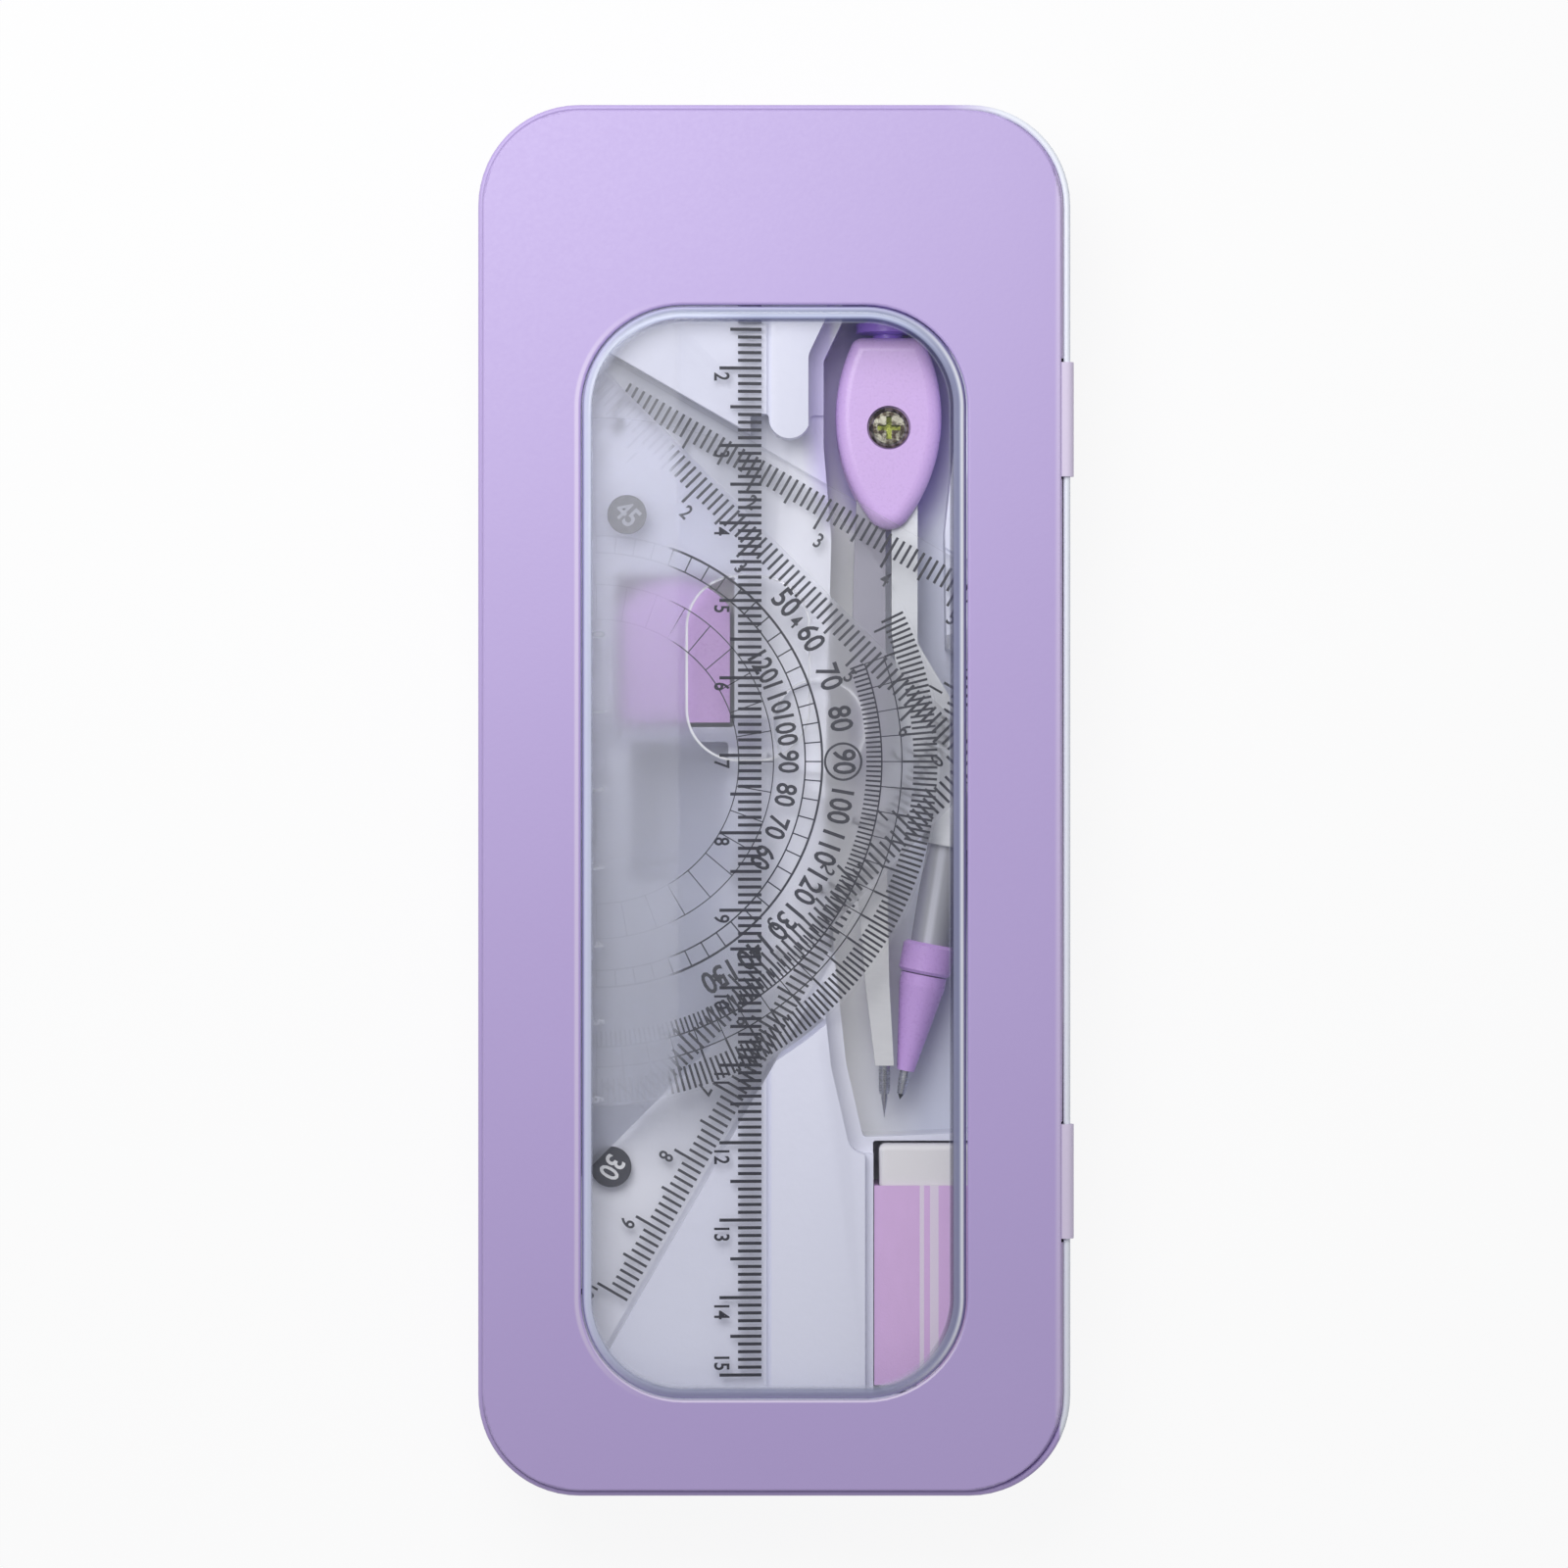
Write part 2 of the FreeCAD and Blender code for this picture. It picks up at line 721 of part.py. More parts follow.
def make_tray():
    """A formed sheet: a deck that drops into a recess for each tool, hollow underneath."""
    fit = D.tool_gap
    recesses = [
        ("square_60", outline_60, fit, D.tool_floor),
        ("square_45", outline_45, fit, square_45_low),
        ("protractor", outline_protractor, fit, protractor_low),
        ("ruler", outline_ruler, fit, ruler_low),
        ("island", outline_island, fit, D.tool_floor),
        ("compass_step", outline_compass, fit + D.compass_step, D.compass_step_floor),
        ("compass", outline_compass, fit, pocket_floor),
        ("eraser_ledge", outline_eraser, D.eraser_gap + D.eraser_ledge, D.eraser_ledge_floor),
        ("eraser", outline_eraser, D.eraser_gap, D.eraser_low),
        ("sleeve", outline_sleeve, D.eraser_gap, D.eraser_floor),
        ("sharpener", outline_sharpener, fit, pocket_floor),
        ("spare", outline_spare, fit, D.spare_floor),
    ]
    above = D.tray_top + 1.0

    def formers(kind, extra):
        solids = []
        for name, outline, room, floor in recesses:
            wire = grown(f"{kind}_{name}_wire", outline, room + extra)
            solids.append(prism(f"{kind}_{name}", wire, floor - extra, above))
        return fuse(f"{kind}_formers", solids)

    half_x = wall_x - D.tray_gap
    half_y = wall_y - D.tray_gap
    corner = wall_corner - D.tray_gap
    deck = rounded_block("tray_block", half_x, half_y, corner, D.tin_sheet, D.tray_top)
    upper = cut("tray_upper", deck, formers("recess", Size.of(0.0)))
    thick = D.tray_sheet
    below = D.tin_sheet - 1.0
    under = rounded_block(
        "tray_under", half_x - thick, half_y - thick, corner - thick, below, D.tray_top - thick
    )
    clear = rounded_block("tray_clear", half_x + 1.0, half_y + 1.0, corner + 1.0, below, D.tray_foot)
    hollow = cut("tray_hollow", fuse("tray_inside", [under, clear]), formers("back", thick))
    return cut("tray", upper, hollow)


def pierced(name, outline, opening, low, high):
    """A flat tool: a plate of its outline with one opening right through it."""
    solid = prism(f"{name}_plate", outline, low, high)
    return cut(name, solid, prism(f"{name}_opening", opening, low - 1.0, high + 1.0))


def make_flat_tools():
    """The two set squares and the protractor, stacked in that order."""
    round_hole = circle(
        loose_sketch("square_60_hole"), D.square_60_hole_x, D.square_60_hole_y, D.square_60_hole
    )
    slot = rounded_rectangle(
        loose_sketch("square_45_slot"),
        D.square_45_slot_x - D.square_45_slot_half, D.square_45_slot_x + D.square_45_slot_half,
        D.square_45_slot_y - D.square_45_slot_long, D.square_45_slot_y + D.square_45_slot_long,
        D.square_45_slot_corner,
    )
    centre = circle(
        loose_sketch("protractor_centre"), D.protractor_x, D.protractor_y, D.protractor_hole
    )
    keep("set_square_60", pierced("square_60", outline_60, round_hole, D.tool_floor, square_45_low))
    keep("set_square_45", pierced("square_45", outline_45, slot, square_45_low, protractor_low))
    keep("protractor", pierced("half_disc", outline_protractor, centre, protractor_low, ruler_low))


def make_ruler():
    """A flat strip whose graduated edge is bevelled down towards the paper."""
    body = new_body("ruler_strip")
    high = ruler_low + D.ruler_thick
    profile = polygon(body_sketch(body, "ruler_profile", plane="XZ_Plane"), [
        (D.ruler_left, ruler_low),
        (D.ruler_right, ruler_low),
        (D.ruler_right, ruler_low + D.ruler_edge),
        (D.ruler_right - D.ruler_bevel, high),
        (D.ruler_left, high),
    ])
    feature = pad(body, profile, D.ruler_length)
    feature.Midplane = True
    doc.recompute()
    return body


def make_eraser():
    block = rounded_block(
        "eraser_rubber", D.eraser_width / 2, D.eraser_length / 2, D.eraser_round,
        D.eraser_low, D.eraser_low + D.eraser_thick, middle=(D.eraser_x, D.eraser_y),
        top=D.eraser_round * 0.9, bottom=D.eraser_round * 0.9,
    )
    half = D.eraser_width / 2 + D.sleeve_fit
    low = D.eraser_low - D.sleeve_fit
    high = D.eraser_low + D.eraser_thick + D.sleeve_fit
    card = D.sleeve_card
    sleeve_high = D.sleeve_low + D.sleeve_length
    outside = box(
        "sleeve_outside", D.eraser_x - half - card, D.eraser_x + half + card,
        D.sleeve_low, sleeve_high, low - card, high + card,
    )
    inside = box(
        "sleeve_inside", D.eraser_x - half, D.eraser_x + half,
        D.sleeve_low - 1.0, sleeve_high + 1.0, low, high,
    )
    keep("eraser_block", block)
    keep("eraser_sleeve", cut("sleeve", outside, inside))


def make_sharpener():
    """A wedge body with a conical bore, whose blade, screw and shaving slot face the pocket floor."""
    left = D.sharpener_x - sharpener_half
    right = D.sharpener_x + sharpener_half
    low_y = D.sharpener_low_y
    side_y = low_y + D.sharpener_side
    crest = D.blade_thick + D.blade_screw_head
    under = pocket_floor + crest
    body = new_body("sharpener_block")
    sketch = body_sketch(body, "sharpener_side_outline", under)
    corners = [(left, side_y), (left, low_y), (right, low_y), (right, side_y)]
    for start, end in zip(corners, corners[1:]):
        sketch.addGeometry(Part.LineSegment(flat(*start), flat(*end)))
    crown = flat(D.sharpener_x, side_y + D.sharpener_dome)
    sketch.addGeometry(Part.Arc(flat(right, side_y), crown, flat(left, side_y)))
    for index in range(4):
        sketch.addConstraint(Sketcher.Constraint("Coincident", index, 2, (index + 1) % 4, 1))
    for index, corner in enumerate(corners):
        pin(sketch, index, 1, *corner)
    crown_radius = (sharpener_half * sharpener_half / D.sharpener_dome + D.sharpener_dome) / 2
    measure(sketch, "Radius", 3, size=crown_radius)
    pad(body, sketch, D.sharpener_thick)
    bore = taper(
        "sharpener_bore", D.sharpener_mouth, D.sharpener_point, D.sharpener_bore,
        D.sharpener_x, low_y, under + D.sharpener_thick / 2, ALONG_Y,
    )
    slot = box(
        "shaving_slot", D.sharpener_x, D.sharpener_x + D.sharpener_mouth,
        low_y + 1.5, side_y - 1.0, under - 1.0, under + D.sharpener_thick * 0.45,
    )
    screw_x = D.sharpener_x - D.blade_width / 2
    screw_y = low_y + D.blade_length / 2 + 0.5
    shank = rod("blade_screw_hole", D.blade_screw / 2, 2.0, screw_x, screw_y, under)
    keep("sharpener_body", cut("sharpener_cut", body, fuse("sharpener_cutters", [bore, slot, shank])))
    blade = box(
        "blade_strip", D.sharpener_x - D.blade_width, D.sharpener_x,
        low_y + 0.5, low_y + 0.5 + D.blade_length, under - D.blade_thick, under,
    )
    eye = rod("blade_eye", D.blade_screw / 2, 2.0, screw_x, screw_y, under - D.blade_thick - 1.0)
    keep("sharpener_blade", cut("blade", blade, eye))
    screw = turned("sharpener_screw_turned", [
        (0.0, -crest), (D.blade_screw * 0.8, -crest), (D.blade_screw, -D.blade_thick),
        (D.blade_screw / 2, -D.blade_thick), (D.blade_screw / 2, 1.9), (0.0, 1.9),
    ], screw_x, screw_y, under, TURNED_UP)
    groove = box(
        "sharpener_screw_groove", screw_x - D.blade_screw, screw_x + D.blade_screw,
        screw_y - 0.25, screw_y + 0.25, under - crest - 1.0, under - D.blade_thick - 0.3,
    )
    keep("sharpener_screw", cut("sharpener_screw_slotted", screw, groove))


# Compass


def shield(sketch):
    """The head's outline: a flat crown, bowed sides and a small round tip, all tangent."""
    x = D.pivot_x
    middle_y = D.pivot_y + D.head_widest
    crown_y = D.pivot_y + D.head_crown
    corner_y = crown_y - D.head_crown_round
    tip_y = D.pivot_y - D.head_tip + D.head_tip_round
    drop = (middle_y - tip_y).number
    spare = (D.head_half - D.head_tip_round).number
    back = (drop * drop - spare * spare) / (2 * spare)
    reach = D.head_half.number + back
    low_lean = math.degrees(math.atan2(drop, back))
    rise = (corner_y - middle_y).number
    across = math.sqrt((reach - D.head_crown_round.number) ** 2 - rise * rise)
    high_lean = math.degrees(math.atan2(rise, across))
    corner_x = across - back
    sketch.addGeometry(Part.LineSegment(flat(x + corner_x, crown_y), flat(x - corner_x, crown_y)))
    sketch.addGeometry(arc(x - corner_x, corner_y, D.head_crown_round, 90, 180 - high_lean))
    sketch.addGeometry(arc(x + back, middle_y, reach, 180 - high_lean, 180 + low_lean))
    sketch.addGeometry(arc(x, tip_y, D.head_tip_round, 180 + low_lean, 360 - low_lean))
    sketch.addGeometry(arc(x - back, middle_y, reach, 360 - low_lean, 360 + high_lean))
    sketch.addGeometry(arc(x + corner_x, corner_y, D.head_crown_round, high_lean, 90))
    for index in range(6):
        sketch.addConstraint(Sketcher.Constraint("Tangent", index, 2, (index + 1) % 6, 1))
    pin(sketch, 3, 3, x, tip_y)
    measure(sketch, "Radius", 3, size=D.head_tip_round)
    measure(sketch, "DistanceY", -1, 1, 0, 1, size=crown_y)
    for index in (1, 5):
        measure(sketch, "Radius", index, size=D.head_crown_round)
    for index, side in ((2, 1.0), (4, -1.0)):
        measure(sketch, "DistanceX", -1, 1, index, 3, size=x + side * back)
        measure(sketch, "DistanceY", -1, 1, index, 3, size=middle_y)
    return sketch


def make_head():
    """Two caps that close over the leg eyes, held by the pivot screw and its nut."""
    low = D.compass_mid - D.head_thick / 2
    high = D.compass_mid + D.head_thick / 2
    room = D.eye_radius + 0.5
    exit_left = D.pivot_x - 6.5
    exit_right = D.pivot_x + 6.5
    exit_low = D.pivot_y - D.head_tip - 1.0
    for name, start, end, edge in (
        ("compass_back_cap", low, D.compass_mid, low),
        ("compass_front_cap", D.compass_mid, high, high),
    ):
        body = new_body(f"{name}_shell")
        pad(body, shield(body_sketch(body, f"{name}_shield", start)), end - start)
        round_edges(body, f"{name}_round", D.head_round, level_at(edge))
        front = end is high
        cave_low = D.compass_mid if front else low + D.head_plate
        cave_high = high - D.head_plate if front else D.compass_mid
        cave = rod(f"{name}_cave", room, cave_high - cave_low, D.pivot_x, D.pivot_y, cave_low)
        mouth = box(
            f"{name}_mouth", exit_left, exit_right, exit_low, D.pivot_y - 1.5, cave_low, cave_high
        )
        shaft = rod(f"{name}_shaft", D.pivot_radius, D.head_thick, D.pivot_x, D.pivot_y, low)
        if front:
            depth = D.pivot_head_thick
            seat = rod(f"{name}_seat", D.pivot_head_seat, depth + 1.0, D.pivot_x, D.pivot_y, high - depth)
        else:
            seat = rod(f"{name}_seat", D.nut_radius, D.nut_thick + 1.0, D.pivot_x, D.pivot_y, low - 1.0)
        keep(name, cut(name, body, fuse(f"{name}_cutters", [cave, mouth, shaft, seat])))
    head_low = high - D.pivot_head_thick
    screw = turned("pivot_screw_turned", [
        (0.0, low + 0.2), (D.pivot_radius, low + 0.2), (D.pivot_radius, head_low),
        (D.pivot_head, head_low), (D.pivot_head, high - 0.4), (D.pivot_head * 0.8, high), (0.0, high),
    ], D.pivot_x, D.pivot_y, 0.0, TURNED_UP)
    half_cross = 1.5
    half_slot = 0.35
    cross = []
    for n, (dx, dy) in enumerate(((half_cross, half_slot), (half_slot, half_cross))):
        cross.append(box(
            f"screw_cross_{n}", D.pivot_x - dx, D.pivot_x + dx, D.pivot_y - dy, D.pivot_y + dy,
            high - 0.7, high + 1.0,
        ))
    keep("compass_pivot_screw", cut("pivot_screw_cross", screw, fuse("screw_cross", cross)))
    nut_body = new_body("pivot_nut")
    nut_points = []
    for n in range(6):
        turn = math.radians(60 * n)
        across = D.nut_radius - 0.05
        nut_points.append((D.pivot_x + across * math.cos(turn), D.pivot_y + across * math.sin(turn)))
    plate(nut_body, "nut_hexagon", nut_points, low, low + D.nut_thick)
    hole(nut_body, "nut_bore", D.pivot_x, D.pivot_y, D.pivot_radius, low, low + D.nut_thick)
    keep("compass_pivot_nut", nut_body)
    washer = new_body("pivot_washer")
    washer_low = D.compass_mid - D.washer_thick / 2
    washer_high = D.compass_mid + D.washer_thick / 2
    disc(washer, "washer_disc", D.pivot_x, D.pivot_y, D.eye_radius - 0.6, washer_low, washer_high)
    hole(washer, "washer_bore", D.pivot_x, D.pivot_y, D.pivot_radius, washer_low, washer_high)
    keep("compass_washer", washer)


def make_handle():
    """A turned grip on the crown of the head, with rings that stop the fingers slipping."""
    start = D.pivot_y + D.head_crown
    profile = [(0.0, -0.8), (2.0, -0.8), (2.0, 0.5), (D.handle_flange, 0.8), (D.handle_flange, 2.0)]
    groove_pitch = 2.2
    groove_depth = 0.4
    for n in range(7):
        along = 2.8 + groove_pitch * n
        profile.append((D.handle_radius - groove_depth, along - 0.4))
        profile.append((D.handle_radius, along))
        profile.append((D.handle_radius, along + groove_pitch - 0.8))
    profile.append((D.handle_radius * 0.6, D.handle_length))
    profile.append((0.0, D.handle_length))
    body = turned("handle_turned", profile, D.pivot_x, start, D.compass_mid)
    flush = fuse("head_caps_joined", [parts["compass_front_cap"], parts["compass_back_cap"]])
    keep("compass_handle", cut("handle_fitted", body, flush))


def leg(name, eye_low, eye_high, outline, neck):
    """A compass leg: a thin eye on the pivot, a neck of the same height and a full-height arm."""
    low = D.compass_mid - D.leg_thick / 2
    high = D.compass_mid + D.leg_thick / 2
    body = new_body(name)
    disc(body, f"{name}_eye", D.pivot_x, D.pivot_y, D.eye_radius, eye_low, eye_high)
    plate(body, f"{name}_neck", neck, eye_low, eye_high)
    plate(body, f"{name}_arm", outline, low, high)
    hole(body, f"{name}_bore", D.pivot_x, D.pivot_y, D.pivot_radius + D.pivot_fit, eye_low, eye_high)
    return body


def make_needle_leg():
    low = D.compass_mid - D.leg_thick / 2
    top_y = D.pivot_y - D.eye_radius - 1.2
    end_y = D.needle_leg_end
    body = leg("needle_leg_arm", low, D.compass_mid - D.eye_gap / 2, [
        (14.5, top_y), (10.9, top_y), (10.4, 31.0), (9.7, 2.0), (11.9, -24.0),
        (D.needle_x - 1.2, end_y), (D.needle_x + 1.2, end_y), (15.0, -24.0), (14.5, 2.0),
    ], [(14.5, top_y), (14.5, D.pivot_y), (10.9, D.pivot_y), (10.9, top_y)])
    socket_y = end_y + 4.0
    socket = rod("ferrule_socket", D.ferrule_radius, 8.0, D.needle_x, end_y - 4.0, D.compass_mid, ALONG_Y)
    keep("needle_leg", cut("needle_leg_bored", body, socket))
    radius = D.ferrule_radius
    tube = turned("ferrule_turned", [
        (D.needle_radius, D.ferrule_end), (radius * 0.8, D.ferrule_end), (radius, D.ferrule_end + 0.6),
        (radius, socket_y), (D.needle_radius, socket_y),
    ], D.needle_x, 0.0, D.compass_mid)
    slit = box(
        "ferrule_slit", D.needle_x - 0.12, D.needle_x + 0.12,
        D.ferrule_end - 1.0, D.ferrule_end + 3.2, D.compass_mid - 2.0, D.compass_mid + 2.0,
    )
    keep("needle_ferrule", cut("ferrule_split", tube, slit))
    point_start = D.needle_tip + 2.6
    needle = turned("needle_turned", [
        (0.0, D.needle_tip), (D.needle_radius, point_start), (D.needle_radius, socket_y), (0.0, socket_y),
    ], D.needle_x, 0.0, D.compass_mid)
    keep("needle", needle)


def make_pencil_leg():
    """The leg's arm swells into a socket that holds the lead barrel at a lean."""
    lean = D.pencil_lean
    turn = FreeCAD.Rotation(Vector(0, 0, 1), -lean.number)
    along = FreeCAD.Rotation(Vector(0, 0, 1), Vector(lean.sine().number, lean.cosine().number, 0))
    high = D.compass_mid + D.leg_thick / 2
    top_y = D.pivot_y - D.eye_radius - 1.2

    def at(distance):
        return (D.collar_x + lean.sine() * distance, D.collar_y + lean.cosine() * distance, D.compass_mid)

    def turned_on_pencil(name, profile):
        return turned(name, profile, D.collar_x, D.collar_y, D.compass_mid, turn)

    socket_low = 15.0
    socket_high = 27.0
    arm = leg("pencil_leg_arm", D.compass_mid + D.eye_gap / 2, high, [
        (15.3, top_y), (18.7, top_y), (18.7, 20.5), (25.6, 9.0), (26.6, 3.0),
        (22.0, -4.0), (20.0, 1.0), (16.6, 12.0), (15.3, 22.0),
    ], [(15.3, top_y), (18.7, top_y), (18.7, D.pivot_y), (15.3, D.pivot_y)])
    socket = rod("barrel_socket", D.socket_radius, socket_high - socket_low, *at(socket_low), along)
    bore = rod("barrel_bore", D.barrel_radius, socket_high - socket_low, *at(socket_low - 1.5), along)
    keep("pencil_leg", cut("pencil_leg_bored", fuse("pencil_leg_socketed", [arm, socket]), bore))

    half = D.collar_half
    tenon = 2.0
    spigot = 1.6
    spigot_end = -8.0
    collet_radius = 0.95
    barrel = turned_on_pencil("barrel_turned", [
        (collet_radius, spigot_end), (spigot, spigot_end), (spigot, -half), (tenon, -half), (tenon, half),
        (D.barrel_radius - 0.25, half), (D.barrel_radius, 9.0), (D.barrel_radius, socket_high - 1.5),
        (D.barrel_radius - 0.8, socket_high - 1.5), (D.lead_radius, socket_high - 2.5),
        (D.lead_radius, 2.0), (collet_radius, 2.0),
    ])
    keep("lead_barrel", barrel)
    collar = turned_on_pencil("collar_turned", [
        (tenon, -half + 0.05), (D.collar_radius - 0.4, -half + 0.05), (D.collar_radius, -half + 0.45),
        (D.collar_radius, half - 0.4), (D.collar_radius - 0.4, half), (tenon, half),
    ])
    keep("lead_collar", collar)
    tube = turned_on_pencil("collet_turned", [
        (D.lead_radius, -12.0), (collet_radius - 0.15, -12.0), (collet_radius, -10.5), (collet_radius, 1.5),
        (D.lead_radius, 1.5),
    ])
    slit_length = 9.0
    slit = doc.addObject("Part::Box", "collet_slit")
    slit.Length = 0.2
    slit.Width = slit_length
    slit.Height = 4.0
    place(slit, *at(-12.5)[:2], D.compass_mid - 2.0, turn)
    keep("lead_collet", cut("collet_split", tube, slit))
    keep("lead_stick", turned_on_pencil("lead_turned", [
        (0.0, -D.lead_end), (D.lead_radius, -D.lead_end + 0.7), (D.lead_radius, 20.0), (0.0, 20.0),
    ]))
    gap = 0.1
    cone_low = -D.cone_end
    keep("nose_cone", turned_on_pencil("cone_turned", [
        (spigot + D.pivot_fit, -half - gap), (D.cone_radius, -half - gap), (D.cone_radius, -half - 1.6),
        (D.cone_tip_radius, cone_low), (D.lead_radius + 0.4, cone_low), (D.lead_radius + 0.4, -13.2),
        (collet_radius + gap, -12.3), (collet_radius + gap, spigot_end - 0.3),
        (spigot + D.pivot_fit, spigot_end - 0.3),
    ]))
    keep("nose_tip", turned_on_pencil("tip_turned", [
        (D.lead_radius + gap, -D.nose_end), (0.55, -D.nose_end), (D.lead_radius + 0.4, cone_low - 1.2),
        (D.lead_radius + 0.4, -13.4), (D.lead_radius + gap, -13.4),
    ]))


keep("base_tin", make_base_tin())
keep("lid_tin", make_lid_tin())
keep("window_pane", make_window_pane())
keep("tray", make_tray())
make_flat_tools()
keep("ruler", make_ruler())
make_eraser()
make_sharpener()
make_head()
make_handle()
make_needle_leg()
make_pencil_leg()
doc.recompute()

failed = [thing.Name for thing in doc.Objects if {"Invalid", "Error"} & set(thing.State)]
for label, thing in parts.items():
    if thing.Shape.isNull() or not thing.Shape.isValid() or not thing.Shape.Solids:
        failed.append(label)
if failed:
    raise RuntimeError(f"not built: {failed}")
os.makedirs("parts", exist_ok=True)
for label, thing in parts.items():
    thing.Shape.exportStep(f"parts/{label}.step")
    print(label, len(thing.Shape.Solids), round(thing.Shape.Volume, 2))
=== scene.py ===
import math

import bpy
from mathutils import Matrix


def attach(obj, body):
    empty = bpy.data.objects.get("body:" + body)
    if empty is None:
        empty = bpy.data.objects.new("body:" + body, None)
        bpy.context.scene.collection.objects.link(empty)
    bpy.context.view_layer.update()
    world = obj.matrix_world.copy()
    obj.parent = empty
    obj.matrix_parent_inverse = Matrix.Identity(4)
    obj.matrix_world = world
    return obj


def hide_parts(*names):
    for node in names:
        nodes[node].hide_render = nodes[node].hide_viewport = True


# Drafting instrument case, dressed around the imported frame.
# Lengths are written in millimetres and turned into metres where a mesh or a finish is made.
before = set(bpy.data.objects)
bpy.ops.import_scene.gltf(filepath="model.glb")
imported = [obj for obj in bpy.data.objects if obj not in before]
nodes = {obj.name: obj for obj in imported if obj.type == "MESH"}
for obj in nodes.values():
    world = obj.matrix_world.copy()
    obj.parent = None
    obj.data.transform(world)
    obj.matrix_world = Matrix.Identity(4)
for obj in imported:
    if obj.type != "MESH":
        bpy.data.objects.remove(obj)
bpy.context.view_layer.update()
MM = 0.001

# Places taken from the solids
RULER_EDGE_TOP = 14.7
RULER_RISE = 0.8
RULER_BEVEL = 11.1
RULER_SLOPE = math.atan2(RULER_RISE, RULER_BEVEL)
RULER_RIGHT = -1.0
RULER_ZERO = 75.8
PROTRACTOR_TOP = 13.9
PROTRACTOR_CENTRE = (-23.0, 5.0)
SQUARE_45_TOP = 12.7
SQUARE_45_CORNER = (28.7, 5.0)
SQUARE_45_LEFT = (-28.22, 61.92)
SQUARE_45_FOOT = (-28.22, -51.92)
SQUARE_60_TOP = 11.3
SQUARE_60_CORNER = (33.7, 25.5)
SQUARE_60_LEFT = (-28.22, 61.25)
SQUARE_60_FOOT = (-28.22, -81.75)
SLEEVE_MIDDLE = 19.9
HINGE_CURL = 36.92

# Outline of the window, and how far the painted highlight and shade bands of the pane's shoulder
# reach into it
WINDOW_MIDDLE = -6.7
WINDOW_HALF = (24.6, 70.15)
WINDOW_CORNER = 12.95
BAND_DEPTH = 2.5

# Print lies just inside the face of a tool
INK_THICK = 0.05
INK_LEVEL = -0.035

# Cleaning copies of the solids: a distance in metres, and angles
SAME_POINT = 0.000001
FLAT_ANGLE = math.radians(0.5)
SMOOTH_ANGLE = math.radians(35.0)
SHARP_ANGLE = math.radians(50.0)

QUARTER_TURN = math.pi / 2
ORIGIN = (0.0, 0.0, 0.0)
UP = (0.0, 0.0, 1.0)
CASE_BODY = "case"
LID_BODY = "lid"
SLEEVE_BODY = "sleeve"


# Working with objects


def clear_choice():
    bpy.ops.object.select_all(action="DESELECT")


def choose(*objects):
    clear_choice()
    for thing in objects:
        thing.select_set(True)
    bpy.context.view_layer.objects.active = objects[0]


def settle(thing):
    """Puts the object's place, turn and size into its mesh."""
    choose(thing)
    bpy.ops.object.transform_apply(location=True, rotation=True, scale=True)


def call(thing, name):
    thing.name = name
    thing.data.name = name


def joined(name, pieces):
    choose(*pieces)
    if len(pieces) > 1:
        bpy.ops.object.join()
    whole = bpy.context.object
    call(whole, name)
    settle(whole)
    return whole


def leave_edit():
    bpy.ops.object.mode_set(mode="OBJECT")


def choose_faces(thing, wanted):
    """Enters edit mode with the faces chosen that the test accepts."""
    choose(thing)
    bpy.context.tool_settings.mesh_select_mode = (False, False, True)
    bpy.ops.object.mode_set(mode="EDIT")
    bpy.ops.mesh.select_all(action="DESELECT")
    leave_edit()
    for face in thing.data.polygons:
        face.select = wanted(face)
    bpy.ops.object.mode_set(mode="EDIT")


def any_face(face):
    return True


def faces_up(face):
    return face.normal.z > 0.9


def copy_of(node_name, name, join_flat=False):
    """A copy of a solid with its loose triangles merged, and its flat faces made whole if asked."""
    copy = bpy.data.objects.new(name, nodes[node_name].data.copy())
    bpy.context.collection.objects.link(copy)
    choose(copy)
    bpy.ops.object.mode_set(mode="EDIT")
    bpy.ops.mesh.select_all(action="SELECT")
    bpy.ops.mesh.remove_doubles(threshold=SAME_POINT)
    if join_flat:
        bpy.ops.mesh.dissolve_limited(angle_limit=FLAT_ANGLE)
    leave_edit()
    return copy


def raise_faces(height):
    """Extrudes the whole mesh in edit mode upwards."""
    bpy.ops.mesh.select_all(action="SELECT")
    bpy.ops.mesh.extrude_region_move(TRANSFORM_OT_translate={"value": (0.0, 0.0, height * MM)})


def turn_outward():
    """Points the faces of the mesh in edit mode outwards, and leaves edit mode."""
    bpy.ops.mesh.select_all(action="SELECT")
    bpy.ops.mesh.normals_make_consistent(inside=False)
    leave_edit()


def smooth(thing):
    choose(thing)
    bpy.ops.object.shade_smooth_by_angle(angle=SMOOTH_ANGLE)


def dress(thing, material, body=CASE_BODY):
    thing.data.materials.clear()
    thing.data.materials.append(material)
    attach(thing, body)


# Shader building blocks

NOISE_SPAN = (0.3, 0.7)
SLANT_SPAN = (0.01, 0.4)
FACING = 0.3
EVEN = (1.0, 1.0, 1.0)
LEVEL = (1.0, 1.0, 0.0)
DRAWN = (1.0, 12.0, 1.0)


def shade(colour, factor):
    return tuple(min(1.0, part * factor) for part in colour)


